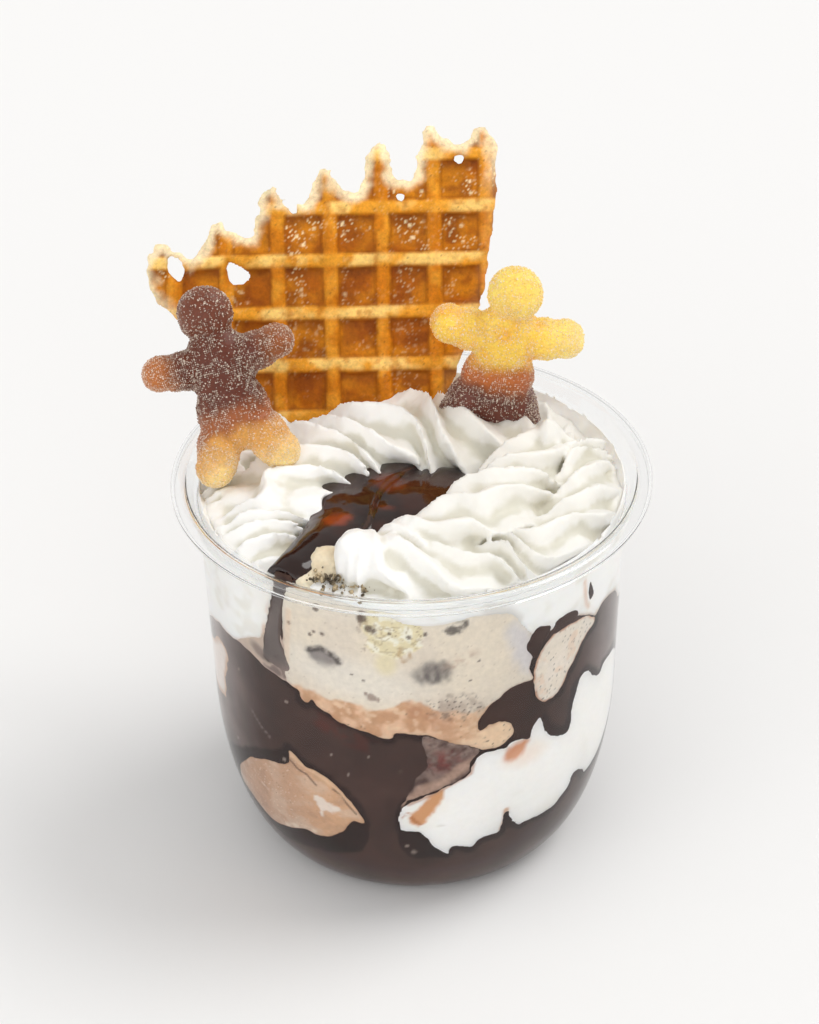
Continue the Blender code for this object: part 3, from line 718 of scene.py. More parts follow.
def scoop_paint(angle, height, inside, at):
    """The scoop behind the front wall, with all that shows in it."""
    rough = 0.45 * fractal(at, 1.1, 301)
    colour = scoop_ground(angle, height, at, rough)
    colour, band = add_band(colour, angle, height, at, rough)
    colour = add_cookies(colour, angle, height, at, rough)
    colour = add_cake(colour, angle, height, at, rough)
    dark = dots(angle + 0.5 * rough, height + 0.4 * rough, DARK_SPECKS)
    colour = mix(colour, linear(96, 78, 68), dark * 0.85)
    colour = mix(colour, linear(140, 116, 106), dots(angle + rough, height, LOW_SPECKS) * 0.75)
    colour = add_pepper(colour, angle, height, at, rough, band)
    streak = stroke(angle, height, [(-34.4, 73), (-35.6, 65.6), (-36.2, 60.6)], 0.3, 0.7)
    colour = mix(colour, TAN_LIGHT, streak * 0.3)
    low_edge = (1 - ramp(inside, 0.0, 0.55)) * (1 - ramp(height, 66, 70))
    return mix(colour, linear(176, 118, 80), low_edge * 0.55)


VEIL_OUTLINE = [
    (-56.5, 57.8), (-54.6, 57.8), (-50.2, 57.2), (-46.1, 56.4), (-43.1, 56), (-40.2, 55.5), (-37.2, 55.3),
    (-35.9, 56.2), (-36, 62), (-38, 67), (-43, 66), (-47, 63.6), (-52, 62.4), (-56, 60),
]


def veil_paint(angle, height, inside, at):
    """A thin smear of melted ice cream and sauce left of the scoop, pale along its low edge."""
    cloud = ramp(fractal(at + fractal(at, 4, 323)[:, None] * 2, 2.6, 321), -0.6, 0.6)
    darker = ramp(angle + 2.5 * (60 - height), -50, -38) * cloud
    colour = mix(linear(206, 186, 170), linear(132, 114, 108), darker)
    smudge = spot(angle, height, (-46.6, 59.6), (2.2, 1.3), 0.6, -25)
    colour = mix(colour, linear(128, 110, 104), smudge * 0.8)
    colour = mix(colour, FUDGE_WET, spot(angle, height, (-43.0, 59.0), (1.2, 1.0), 0.4, -40) * 0.85)
    return mix(colour, linear(202, 176, 162), (1 - ramp(inside, 0.2, 0.8)) * 0.75)


SIDE_OUTLINE = [
    (40, 65), (43.4, 64.9), (49.6, 64.3), (54.3, 63.2), (57.6, 60.9), (54.8, 59.6), (52.5, 58.4),
    (49.3, 56), (46.4, 53.4), (43.7, 50.6), (40.9, 49), (37.3, 48.8), (34.7, 50.3), (33.6, 53.2),
    (33.2, 56.5), (34, 59.6), (36, 62.6),
]


def side_paint(angle, height, inside, at):
    """Pale ice cream with fine dark specks and a thin tan edge."""
    colour = mix(SPECKLED, BEIGE, ramp(fractal(at, 4, 71), -0.4, 0.6) * 0.5)
    colour = mix(colour, TAN_LIGHT, ramp(fractal(at, 2.2, 75), 0.3, 0.8) * 0.35)
    place = on_wall(angle, height)
    cluster = np.clip(0.7 + fractal(at, 2.4, 85), 0.1, 1)
    for pitch, size, seed in ((1.5, 0.22, 73), (0.75, 0.10, 77)):
        colour = mix(colour, linear(84, 74, 68), specks(place, pitch, size, seed, 0.6) * cluster * 0.85)
    edge = (1 - ramp(inside, 0.15, 0.7)) * ramp(fractal(at, 3, 79), -0.9, 0.1)
    return mix(colour, CARAMEL, edge * 0.75)


MOCHA_OUTLINE = [
    (-67.2, 18.8), (-65, 22.4), (-60.2, 26), (-54.3, 29.5), (-47.3, 32), (-41.2, 33.2), (-38.2, 34.6),
    (-38, 37.6), (-35.4, 37.2), (-32.4, 35.6), (-28, 35), (-23.2, 32.9), (-19.4, 30), (-16.7, 26.6),
    (-15.5, 24), (-18.6, 23.8), (-20.6, 21.7), (-22.9, 19.8), (-27.8, 17.2), (-31.9, 16.5), (-35.9, 16.7),
    (-43.2, 14.6), (-50.5, 13.2), (-56.1, 14), (-61.6, 15.9), (-66.4, 17),
]
WHITE_PATCH = [
    (-30.7, 27.6), (-28.7, 28.6), (-25.9, 27.6), (-22.4, 26.9), (-24, 25.4), (-27.4, 24.9), (-28.7, 23.5),
    (-29.4, 25.5),
]


def mocha_paint(angle, height, inside, at):
    """Light brown ice cream with tiny bubbles, paler smears and a thin dark fold."""
    swirl = fractal(at * (1, 1, 1.6) + fractal(at, 9, 83)[:, None] * 3, 5, 81)
    colour = mix(MOCHA, MOCHA_TAN, ramp(angle, -40, -26) * 0.9)
    colour = mix(colour, MOCHA_LIGHT, ramp(swirl, -0.1, 0.8) * 0.45)
    colour = mix(colour, linear(178, 140, 116), ramp(swirl, -0.2, -0.9) * 0.5)
    left = 1 - ramp(angle, -42, -30)
    place = on_wall(angle, height)
    colour = mix(colour, linear(236, 218, 200), specks(place, 0.9, 0.13, 87, 0.8) * (0.2 + 0.5 * left))
    colour = mix(colour, linear(140, 102, 80), specks(place, 1.1, 0.11, 89, 0.7) * (0.25 + 0.3 * left))
    white = area(angle, height, WHITE_PATCH, 0.35, 0.5 * fractal(at, 1.0, 331))
    colour = mix(colour, linear(236, 226, 216), white * 0.85)
    pale = stroke(angle, height, [(-43.5, 15.4), (-37, 17.3), (-32.1, 17.8)], 0.35, 0.7)
    pale += stroke(angle, height, [(-54.2, 26.4), (-51.5, 24.2), (-47.6, 23.0)], 0.12, 0.4) * 0.8
    colour = mix(colour, linear(236, 218, 200), np.clip(pale * (0.6 + fractal(at, 1.1, 333)), 0, 1) * 0.8)
    fold = stroke(angle, height, [(-37.6, 35.4), (-35, 33.9), (-32.2, 33.4), (-29.4, 31.4)], 0.1, 0.25)
    fold += stroke(angle, height, [(-24.0, 31.6), (-21.6, 30.6), (-20.0, 28.4), (-17.6, 26.2)], 0.08, 0.25)
    colour = mix(colour, linear(84, 50, 36), np.clip(fold, 0, 1) * 0.8)
    crest = [(-38, 37.4), (-34.2, 36.0), (-28, 34.6), (-22.6, 32.4), (-17.5, 28)]
    light = stroke(angle, height, crest, 0.5, 0.6)
    colour = mix(colour, linear(238, 204, 168), light * 0.6)
    return mix(colour, linear(170, 116, 80), (1 - ramp(inside, 0.05, 0.45)) * 0.6)


LOWER_OUTLINE = [
    (-5.1, 23.2), (-5.2, 26.1), (-3.6, 29.9), (-0.2, 31.5), (5.8, 33.4), (9, 34.7), (14.4, 36.6), (15, 39),
    (17.4, 40.7), (20.3, 41.3), (24.7, 41.4), (27.8, 42.3), (32.4, 41.5), (33.4, 43.6), (36.2, 45.6),
    (38.9, 41.2), (43.7, 38.2), (47.3, 38.4), (48.6, 43.4), (50.4, 48), (54.3, 49.4), (62.2, 45.2),
    (66, 46.5), (76, 45), (82, 40), (78, 30), (70, 24), (60, 21.6), (52.3, 25.1), (48.8, 20.9), (43, 18.5),
    (35.8, 19), (31.4, 18.8), (28.2, 20.6), (26.2, 23.6), (25, 20.6), (24.5, 18.4), (18.4, 18),
    (16.3, 15.9), (10.5, 17), (9.1, 15.1), (6.4, 16), (3.8, 18.6), (1.2, 21.4), (-2.3, 22.4),
]


def lower_paint(angle, height, inside, at):
    """White cream with soft painted shade, warm stains and a pale tan streak at its left end."""
    rough = 0.4 * fractal(at, 1.2, 341)
    # Soft painted shade over the white
    colour = mix(CREAM, CREAM_SHADE, ramp(fractal(at, 9, 91), -0.3, 0.8) * 0.3)
    warm = [(24.6, 38.2), (26.3, 40.6), (31.6, 41.4), (30.6, 38.2), (27.1, 37.4)]
    stain = area(angle, height, warm, 1.0, rough)
    colour = mix(colour, linear(206, 124, 62), stain * 0.9)
    colour = mix(colour, linear(240, 206, 182), spot(angle, height, (31.5, 37.6), (4.5, 2.4), 0.8) * 0.35)
    notch = stroke(angle, height, [(26.0, 24.6), (26.0, 22.0), (25.2, 19.4)], 0.25, 0.8)
    colour = mix(colour, linear(206, 150, 112), notch * 0.8)
    tan = area(angle, height, [(-2.2, 26.2), (1.2, 24.8), (6.9, 31.4), (6.4, 33.6), (2.4, 31.6)], 0.6, rough)
    colour = mix(colour, linear(212, 152, 98), tan * 0.95)
    rim = stroke(angle, height, [(-4.8, 26.6), (-2.6, 27.6), (-1.0, 25.6), (0.8, 24.8)], 0.22, 0.45)
    colour = mix(colour, CARAMEL, rim * np.clip(0.8 + 1.2 * fractal(at, 0.9, 343), 0, 1) * 0.9)
    edge = stroke(angle, height, [(-2.5, 30.4), (5.8, 33.6), (9.0, 34.9), (14.6, 37), (15.2, 39)], 0.35, 0.6)
    colour = mix(colour, linear(188, 138, 110), edge * 0.75)
    fine = spot(angle, height, (6.5, 24.0), (1.0, 0.25), 0.5) * 0.35
    return mix(colour, linear(190, 182, 170), fine)


MELT_OUTLINE = [
    (1.6, 47.5), (8.5, 45.8), (16.2, 43.4), (17.6, 41.4), (15.4, 39.6), (14.6, 36.6), (6.2, 33.6), (-2, 31),
    (-4.8, 27.4), (-4.6, 30.2), (-1.4, 35), (1.5, 38.8), (2.2, 42.2),
]


def melt_paint(angle, height, inside, at):
    """Sauce with thin mottled veils of melted ice cream."""
    veil = fractal(at + fractal(at, 5, 103)[:, None] * 3, 2.6, 101)
    colour = mix(linear(74, 48, 42), linear(146, 122, 112), ramp(veil, -0.6, 0.7) * 0.85)
    mottle = ramp(fractal(at, 0.8, 105, 2), -0.1, 0.7)
    colour = mix(colour, linear(168, 150, 140), mottle * ramp(height, 36, 44) * 0.45)
    red = spot(angle, height, (7.6, 40.8), (3.4, 2.4), 0.7) * np.clip(0.6 + fractal(at, 1.2, 107), 0, 1)
    colour = mix(colour, linear(124, 48, 42), red * 0.75)
    streak = np.abs(height - (31.6 + 0.42 * (angle + 3)) - 0.7 * fractal(at, 4, 109))
    colour = mix(colour, linear(196, 162, 142), (1 - ramp(streak, 0.4, 2.0)) * 0.7)
    return mix(colour, FUDGE_WET, (1 - ramp(inside, 0.0, 0.6)) * 0.5)


PALE_OUTLINE = [
    (-84, 47), (-76, 49.5), (-70, 52.8), (-66, 53), (-63.2, 50.7), (-64.8, 47.2), (-66.8, 43.3),
    (-67.8, 38.5), (-71.5, 37.5), (-80, 37), (-86, 42),
]


def pale_paint(angle, height, inside, at):
    return mix(linear(214, 178, 150), linear(240, 228, 220), ramp(inside, 0.3, 1.8))


WET_EDGE = [SCOOP_OUTLINE, MOCHA_OUTLINE, SIDE_OUTLINE, LOWER_OUTLINE]
WEDGE = [
    (34.6, 56.4), (28.8, 56.6), (25, 56), (22.1, 54.4), (19.3, 52.4), (17.2, 49.8), (16.4, 48.1),
    (17.6, 46.3), (22, 47.2), (25.3, 46.9), (27.2, 45.6), (27.4, 42.3), (33, 41), (34.6, 44), (37, 45.6),
    (40, 48.4), (34.4, 50.3), (33, 53.2),
]
WET_STREAKS = [  # dark wet sauce along the mocha piece, and under the lower cream's left end
    [(-74, 24.5), (-63.0, 28.4), (-50.1, 34.0), (-43.0, 36.3), (-38.6, 36.6), (-38.5, 34.0), (-47.3, 31.0),
     (-60.2, 24.6), (-67.7, 18.6), (-71.5, 20.0)],
    [(-53.4, 11.7), (-43.2, 15.6), (-31.9, 17.5), (-22.7, 20.8), (-20.3, 22.7), (-16.6, 24.4), (-14.5, 22.5),
     (-14.5, 19.7), (-16.8, 16.0), (-20.9, 14.1), (-29.2, 12.1), (-38.4, 10.8), (-48.9, 10.0)],
    [(-5.2, 22.4), (1.2, 22.0), (6.4, 16.6), (8.9, 14.8), (2.0, 14.4), (-2.6, 15.4), (-5.4, 18.0)],
]
BUBBLES = [
    (-13.2, 41.8, 0.3), (-19.3, 36.5, 0.28), (-11.5, 37.5, 0.25), (-8.3, 32.9, 0.3), (-39.8, 34.6, 0.42),
    (-62, 31, 0.3), (-57, 50.5, 0.35), (-37.5, 50, 0.3), (-24, 40.5, 0.22), (-4.5, 38.5, 0.2),
]


def sauce_paint(angle, height, at):
    """Sauce brown greyed by a painted reflection where the sauce stands off the plastic, dark and wet round
    the other food.
    """
    wavy = height + 0.5 * fractal(at, 2.2, 351)
    # Base: the sauce's brown with a painted grey reflection over it
    colour = mix(FUDGE_WITH_SHEEN, FUDGE_WARM, ramp(fractal(at, 14, 5), -0.1, 0.9) * 0.5)
    # Painted reflection: paler sauce towards the left and right sides, fading out at the back
    painted_reflection = 0.75 * (1 - ramp(angle, -74, -46)) + 0.45 * ramp(angle, 50, 68)
    painted_reflection *= 1 - ramp(np.abs(angle), 82, 100)
    colour = mix(colour, FUDGE_PAINTED_REFLECTION, painted_reflection * ramp(height, 22, 34))
    colour = mix(colour, linear(84, 64, 58), 1 - ramp(height, 4, 15))
    for outline in WET_EDGE:
        away = -distance_inside(on_wall(angle, wavy), wall_loop(outline))
        wet = 1 - ramp(away + 0.6 * fractal(at, 3, 353), 0.9, 1.8)
        colour = mix(colour, FUDGE_WET, wet * (1 - ramp(height, 62, 66)) * 0.9)
    colour = mix(colour, FUDGE_WARM, area(angle, height, WEDGE, 0.5) * 0.95)
    for outline in WET_STREAKS:
        colour = mix(colour, FUDGE_WET, area(angle, wavy, outline, 0.35) * 0.95)
    below = stroke(angle, wavy, [(-27, 48.5), (-23, 47.2), (-18, 45.4), (-12, 44.6)], 1.0, 1.8)
    colour = mix(colour, FUDGE_RED, below * ramp(fractal(at, 2.6, 355), -0.3, 0.6) * 0.5)
    scratch = stroke(angle, height, [(-52.4, 42.6), (-48.2, 39.8), (-45.0, 38.6)], 0.08, 0.25)
    colour = mix(colour, linear(150, 132, 126), scratch * 0.5)
    fleck = dots(angle, height, BUBBLES) + 0.8 * dots(angle, height, ((-3.4, 18.4, 0.4), (-1.4, 16.4, 0.6)))
    return mix(colour, linear(190, 172, 160), np.clip(fleck, 0, 1) * 0.6)


def make_faces():
    """Each kind of food that shows through the wall; some stand for a node, some are small smears."""
    for name, outline, sunk, paint, thick, wobble, seed, step, material, slot, *nodes in (
            ("scoop_face", SCOOP_OUTLINE, 0, scoop_paint, 9, 0.3, 12, 0.33,
             wall_food("cookie_ice_cream_face"), "cookie_ice_cream", "ice_cream_scoop"),
            ("speckled_face", SIDE_OUTLINE, -0.02, side_paint, 5, 0.3, 14, 0.3,
             wall_food("speckled_ice_cream_face"), "speckled_ice_cream", "ice_cream_side"),
            ("mocha_face", MOCHA_OUTLINE, 0, mocha_paint, 7, 0.2, 15, 0.3,
             wall_food("mocha_face"), "mocha_ice_cream", "mocha_ice_cream"),
            ("lower_cream_face", LOWER_OUTLINE, 0.02, lower_paint, 7, 0.4, 16, 0.4,
             wall_food("lower_cream_face", 0.45, 0.3, 0.98, 1.01), "cream", "cream_lower"),
            ("melted_face", MELT_OUTLINE, 0.05, melt_paint, 3, 0.4, 17, 0.3,
             wall_food("melted_face", 0.5, 0.0, 0.85, 1.15, 0.9), "cookie_ice_cream"),
            ("pale_streak_face", PALE_OUTLINE, 0.04, pale_paint, 3, 0.35, 18, 0.4,
             wall_food("pale_streak_face"), "cream"),
            ("melted_veil", VEIL_OUTLINE, 0.03, veil_paint, 1.5, 0.25, 22, 0.3,
             wall_food("melted_veil", 0.5, 0.1), "cookie_ice_cream")):
        patch = wall_patch(name, outline, FOOD_DEPTH + sunk, paint, thick, wobble, seed, step)
        finish(patch, material, slot, *nodes)


# The cream's skirt and the sauce that runs over it

SKIRT_LOW = [
    (-180, 59), (-160, 61.5), (-140, 58), (-118, 57.5), (-100, 55.5), (-88, 52), (-80, 53), (-74.9, 55.2),
    (-66.6, 57.3), (-61.3, 57.2), (-57.9, 57.4), (-54.6, 58.6), (-50, 61), (-45, 62.6), (-42.4, 66),
    (-40.5, 72), (-38.4, 78), (-35, 81), (-26, 80.2), (-20.2, 79.4), (-14.8, 77.9), (-10.7, 77),
    (-6.1, 75.7), (-2.7, 74.5), (2.7, 73.7), (7.5, 73.8), (10.3, 74.1), (14.9, 74.9), (19.6, 74.4),
    (22.3, 74), (25.7, 73.2), (28, 71), (30.4, 68.2), (33, 66.4), (38.4, 65.8), (44, 66.2), (48.5, 65.4),
    (54.3, 63.6), (57.6, 61.4), (61.4, 63.2), (66, 62.8), (71.5, 61.6), (76.8, 57), (84, 55.5), (97, 58),
    (120, 61), (140, 57), (162, 60), (180, 59),
]
SKIRT_TOP = 79.6
SKIRT_FOOT = 50
SKIRT_ROWS = 62
SKIRT_STEP = 0.5


def skirt_paint(angle, height, above, at):
    """White with painted shade in soft folds, and a stained edge where it meets the sauce; above is the
    height over that edge.
    """
    # painted shade in soft folds of the cream
    fold_shade = fractal(at * (1, 1, 1.5) + fractal(at, 12, 123)[:, None] * 5, 6, 111)
    colour = mix(linear(253, 252, 249), CREAM_SHADE, ramp(fold_shade, 0.0, 0.7) * 0.45)
    colour = mix(colour, linear(240, 236, 228), ramp(angle, -50, -40) * (1 - ramp(angle, -36, -30)) * 0.6)
    edge = 1 - ramp(above, 0.0, 1.1)
    stained = ramp(fractal(at, 12, 113), -0.3, 0.5)
    colour = mix(colour, linear(222, 190, 164), edge * stained * 0.6)
    tan = stroke(angle, height, [(-39.6, 76), (-41.4, 71.7), (-43.2, 67.1), (-44.6, 62.6)], 0.1, 0.6)
    colour = mix(colour, linear(222, 184, 156), tan * np.clip(0.5 + fractal(at, 3, 119), 0, 1) * 0.7)
    right = stroke(angle, height, [(51.0, 72.6), (52.4, 67), (55.4, 64.2), (58, 62.6)], 0.15, 0.8)
    colour = mix(colour, linear(222, 184, 156), right * np.clip(0.5 + fractal(at, 3, 121), 0, 1) * 0.6)
    grey = stroke(angle, height, [(19.5, 76.0), (24.5, 74.2), (27.6, 71.8)], 0.5, 1.4)
    return mix(colour, linear(206, 200, 192), grey * 0.5)


def make_skirt():
    """Cream all round the wall, from the sauce's uneven edge up to the rim."""
    count = int(360 * ARC / SKIRT_STEP)
    angle = np.repeat(360 * np.arange(count) / count - 180, SKIRT_ROWS).reshape(count, SKIRT_ROWS)
    low = np.interp(angle, *zip(*SKIRT_LOW))
    ease = np.interp(angle + 1.0, *zip(*SKIRT_LOW)) + np.interp(angle - 1.0, *zip(*SKIRT_LOW))
    low = (low * 2 + ease) / 4
    rise = np.linspace(0, 1, SKIRT_ROWS)[None, :]
    height = SKIRT_FOOT + (SKIRT_TOP + GRID_MARGIN - SKIRT_FOOT) * rise + 0 * angle
    at = wall_points(angle.ravel(), height.ravel(), 0)
    top = SKIRT_TOP + 0.5 * fractal(at, 7, 115).reshape(angle.shape)
    inside = np.minimum(height - low, top - height) + 0.35 * fractal(at, 2.8, 117).reshape(angle.shape)
    sunk = CREAM_DEPTH + 0.34 * (1 - ramp(inside, -0.5, 0.5))
    front = wall_points(angle, height, sunk)
    back = wall_points(angle, height, sunk + 0.25 + 4 * ramp(inside, 0, 5))
    points, faces, source = two_sided(front, back, inside > -EDGE_REACH, wrap=True)
    colour = skirt_paint(angle.ravel(), height.ravel(), (height - low).ravel(), at)
    obj = add_mesh("cream_skirt", points, faces, colour[source])
    return finish(obj, wall_food("cream_skirt", 0.45, 0.3, 0.98, 1.01, 3.0), "cream", "whipped_cream")


BLOB_A = [
    (30.9, 64.9), (32.2, 66.9), (34.5, 68), (37.9, 67.3), (38.4, 66.1), (36.4, 64.4), (34.8, 62.5),
    (34.1, 60.9), (32.4, 61.8), (31.1, 63.4),
]
BLOB_B = [
    (39.3, 65.8), (40.5, 67.7), (44.1, 68.2), (48.2, 67.1), (48.9, 65.9), (47.4, 65.1), (43.4, 65),
    (40.3, 64.5),
]
BLOB_C = [(54, 71.6), (55.6, 69.4), (55.6, 67.6), (53.8, 66.9), (53, 69.3), (53.2, 71)]
DRIP = [
    (-37.6, 80.6), (-37.9, 77.9), (-38.8, 76), (-40.1, 73.4), (-41.7, 69.1), (-43.3, 65.2), (-44, 61.8),
    (-44.3, 59.6), (-42.6, 58.4), (-39.9, 58), (-36.6, 58), (-35.6, 59.2), (-36.6, 61), (-37.4, 63.4),
    (-37.8, 65.8), (-37.3, 68.9), (-36.3, 73.2), (-35.2, 76.1), (-34.2, 78.8), (-33.8, 80.6),
]


def drip_paint(angle, height, inside, at):
    """Sauce greyed by a painted reflection where it stands off the plastic, dark along its edges and up at
    the rim.
    """
    colour = mix(FUDGE_DRIP_SHEEN, FUDGE_WITH_SHEEN, ramp(fractal(at, 3, 361), 0.0, 0.8) * 0.5)
    colour = mix(colour, FUDGE_WET, ramp(height, 74.5, 76.5) * 0.7)
    colour = mix(colour, linear(82, 62, 54), (1 - ramp(inside, 0.1, 0.5)) * ramp(height, 60, 64) * 0.7)
    return mix(colour, linear(150, 132, 126), (1 - ramp(height, 57.5, 60.5)) * 0.5)


def blob_paint(angle, height, inside, at):
    return mix(FUDGE_WARM, FUDGE_WITH_SHEEN, ramp(fractal(at, 3, 363), -0.2, 0.8) * 0.4)


def make_runs():
    material = sauce_material("fudge_runs", 0.4, 0.06, 0.0, 0.2)
    for name, outline, paint, wobble, seed, step in (
            ("sauce_blob_a", BLOB_A, blob_paint, 0.25, 19, 0.3),
            ("sauce_blob_b", BLOB_B, blob_paint, 0.25, 20, 0.3),
            ("sauce_blob_c", BLOB_C, blob_paint, 0.25, 23, 0.3),
            ("sauce_run", DRIP, drip_paint, 0.2, 21, 0.25)):
        patch = wall_patch(name, outline, RUN_DEPTH, paint, 2.5, wobble, seed, step)
        finish(patch, material, "fudge")


# Shapes melted together

def ellipsoid(bm, centre, radii, turn=(0, 0, 0), detail=3):
    spin = Matrix.Rotation(math.radians(turn[2]), 4, "Z")
    spin = spin @ Matrix.Rotation(math.radians(turn[1]), 4, "Y")
    spin = spin @ Matrix.Rotation(math.radians(turn[0]), 4, "X")
    scale = Matrix.Diagonal((*[size * MM for size in radii], 1))
    where = Matrix.Translation(Vector(centre) * MM) @ spin @ scale
    bmesh.ops.create_icosphere(bm, subdivisions=detail, radius=1.0, matrix=where)


def object_from(bm, name):
    mesh = bpy.data.meshes.new(name)
    bmesh.ops.recalc_face_normals(bm, faces=bm.faces)
    bm.to_mesh(mesh)
    bm.free()
    return link(name, mesh)


def press_to_wall(points, depth):
    """Move points that reach past the wall back to a depth below its outer face."""
    radius = np.hypot(points[:, 0], points[:, 1])
    limit, _ = wall_section(np.minimum(points[:, 2], SHOULDER_HEIGHT), depth)
    scale = np.where(radius > limit, limit / np.maximum(radius, 1e-6), 1)
    return points * np.stack([scale, scale, np.ones_like(scale)], -1)


# The pool of sauce and the scoop that shows beside it

POOL = [((-1, -8, 79.2), (20, 14, 3.4)), ((-9, -13, 79.2), (12, 11, 3.4))]
STREAM = [(-12, -16, 79.4, 8), (-17, -24, 79.8, 6), (-22, -31, 79.6, 4.2), (-25, -33.4, 78.6, 3.2),
          (-27, -33.6, 77, 2.6)]
POOL_THIN = [  # where the sauce is thin and shows red: place, width and strength
    (-14.5, -19.0, 4.2, 0.8), (6.5, -15.0, 4.2, 0.8), (-4.0, -5.5, 4.4, 0.32), (-5.0, -13.5, 2.5, 0.25),
]


def make_pool():
    bm = bmesh.new()
    for centre, radii in POOL:
        ellipsoid(bm, centre, radii, detail=4)
    for start, end in zip(STREAM, STREAM[1:]):
        for share in np.arange(6) / 6:
            x, y, z, wide = np.array(start) * (1 - share) + np.array(end) * share
            ellipsoid(bm, (x, y, z), (wide, wide, min(wide, 3.0)), (0, 0, -40))
    obj = object_from(bm, "sauce_pool")
    melt(obj, 0.45, 6)
    points = mesh_points(obj)
    fold = points[:, 0] + 6.0 - 0.5 * (points[:, 1] + 12) - 1.6 * np.sin(points[:, 1] * 0.22)
    waves = 0.35 * fractal(points, 10, 131, 2)
    level = 1 - ramp(fold, -1.2, 0.6) + waves + 0.05 * fractal(points, 3, 133)
    points[:, 2] += np.where(points[:, 2] > 78.5, level, 0) - 0.35
    move_points(obj, press_to_wall(points, WALL + 0.1))
    colour = mix(linear(34, 14, 8), linear(56, 26, 16), ramp(fractal(points, 7, 135), -0.4, 0.5))
    for x, y, wide, share in POOL_THIN:
        reach = np.hypot(points[:, 0] - x, (points[:, 1] - y) * 1.3) + 0.9 * fractal(points, 2.5, 137)
        colour = mix(colour, linear(150, 58, 16), (1 - ramp(reach, wide * 0.3, wide)) * share)
    colour = mix(colour, linear(120, 80, 60), (1 - ramp(np.abs(fold + 0.5), 0.05, 0.4)) * 0.25)
    paint_mesh(obj.data, colour)
    return finish(obj, sauce_material("fudge_pool", 0.12, 0.35, 0.2, 0.35), "fudge", "fudge_top")


PEAK_LUMPS = [
    ((-16.5, -28.5, 70.5), (12, 12, 12.5)), ((-12, -32, 73), (9.5, 8.5, 9.0)),
    ((-20, -33, 72.5), (8, 7.5, 8.8)), ((-4, -24, 66), (22, 18, 12)),
]


def make_scoop_peak():
    """The top of the scoop, crumbly, between the sauce and the front cream."""
    bm = bmesh.new()
    for centre, radii in PEAK_LUMPS:
        ellipsoid(bm, centre, radii, detail=4)
    obj = object_from(bm, "scoop_peak")
    melt(obj, 0.6, 1)
    points = mesh_points(obj)
    rough = 0.7 * fractal(points, 4.5, 141) + 0.28 * np.abs(fractal(points, 1.4, 143)) - 0.2
    points = press_to_wall(points + point_normals(obj) * rough[:, None], WALL + 0.15)
    move_points(obj, points)
    colour = mix(linear(240, 226, 198), linear(222, 204, 172), ramp(fractal(points, 3, 145), -0.2, 0.8) * 0.7)
    crumbs = ramp(fractal(points, 1.1, 147, 2), 0.62, 0.85)
    colour = mix(colour, linear(140, 116, 84), crumbs * 0.55)
    paint_mesh(obj.data, colour)
    material = wall_food("cookie_ice_cream_top", 0.5, 0.3, 0.92, 1.05, 0.7, 0.4)
    return finish(obj, material, "cookie_ice_cream")


# The piped cream

ROPES = [  # each rope's middle line with its half width and half height
    [(-14.4, -28.6, 82.8, 1.6, 1.6), (-13.4, -28.9, 82.8, 4.9, 4.4), (-10.0, -29.9, 82.0, 6.6, 5.8),
     (-3.0, -32.6, 80.2, 7.4, 6.4), (6.0, -34.0, 79.0, 7.6, 6.6), (16.0, -32.0, 78.6, 7.6, 6.6),
     (25.5, -25.5, 78.4, 7.8, 6.8), (32.0, -15.5, 78.4, 7.8, 6.8), (34.5, -4.0, 78.4, 7.8, 6.8),
     (33.0, 8.0, 77.6, 7.2, 6.4)],
    [(-7.5, -27.5, 81.0, 2.0, 2.0), (-3.0, -26.9, 81.8, 6.0, 5.2), (5.5, -24.2, 81.6, 8.0, 6.4),
     (13.0, -19.4, 81.2, 8.6, 6.8), (18.0, -12.0, 81.0, 8.8, 6.8), (21.5, -4.0, 81.0, 8.6, 7.0),
     (24.5, 2.5, 80.6, 8.0, 7.0), (26.0, 8.0, 79.4, 7.0, 6.6)],
    [(29.0, 7.0, 77.0, 6.0, 6.5), (20.0, 10.5, 79.4, 10.5, 7.8), (10.5, 12.0, 80.2, 12.5, 8.2),
     (0.0, 12.5, 80.8, 13.4, 8.8), (-10.0, 10.0, 80.4, 13.4, 8.6), (-18.5, 4.5, 79.8, 13.2, 8.4),
     (-24.5, -5.0, 78.6, 11.6, 7.8), (-28.5, -14.8, 77.2, 10.0, 7.0), (-31.5, -23.5, 76.0, 8.0, 6.0),
     (-31.0, -29.5, 75.2, 5.4, 4.6), (-30.4, -33.0, 75.0, 1.4, 1.4)],
    [(36.0, 10.0, 73.0, 4.0, 5.0), (30.0, 22.0, 72.0, 8.0, 6.5), (16.0, 31.0, 72.8, 8.5, 7.0),
     (0.0, 34.0, 73.4, 8.5, 7.2), (-16.0, 30.0, 73.4, 8.5, 7.2), (-29.0, 20.0, 74.6, 8.0, 7.0),
     (-36.0, 6.0, 75.0, 7.0, 6.4), (-38.0, -8.0, 74.8, 5.0, 5.0)],
]
ROPE_STEP = 0.8
ROPE_RIDGES = 5
RIDGE_POINTS = 14
RIDGE_DEPTH = 0.42
RIDGE_PITCH = 40.0
BED_SEGMENTS = 120
BED_SECTION = [  # radius, height, size of the waves, drop towards the back
    (13, 66, 0, 0), (41.6, 66, 0, 0), (41.6, 79.5, 0.9, 3.0), (30, 79, 0.9, 3.0), (13, 75, 0.9, 3.0),
]
PEAK_FOOT = (26.0, 7.5, 79)
PEAK_TIP = (27.4, 4.8, 90)


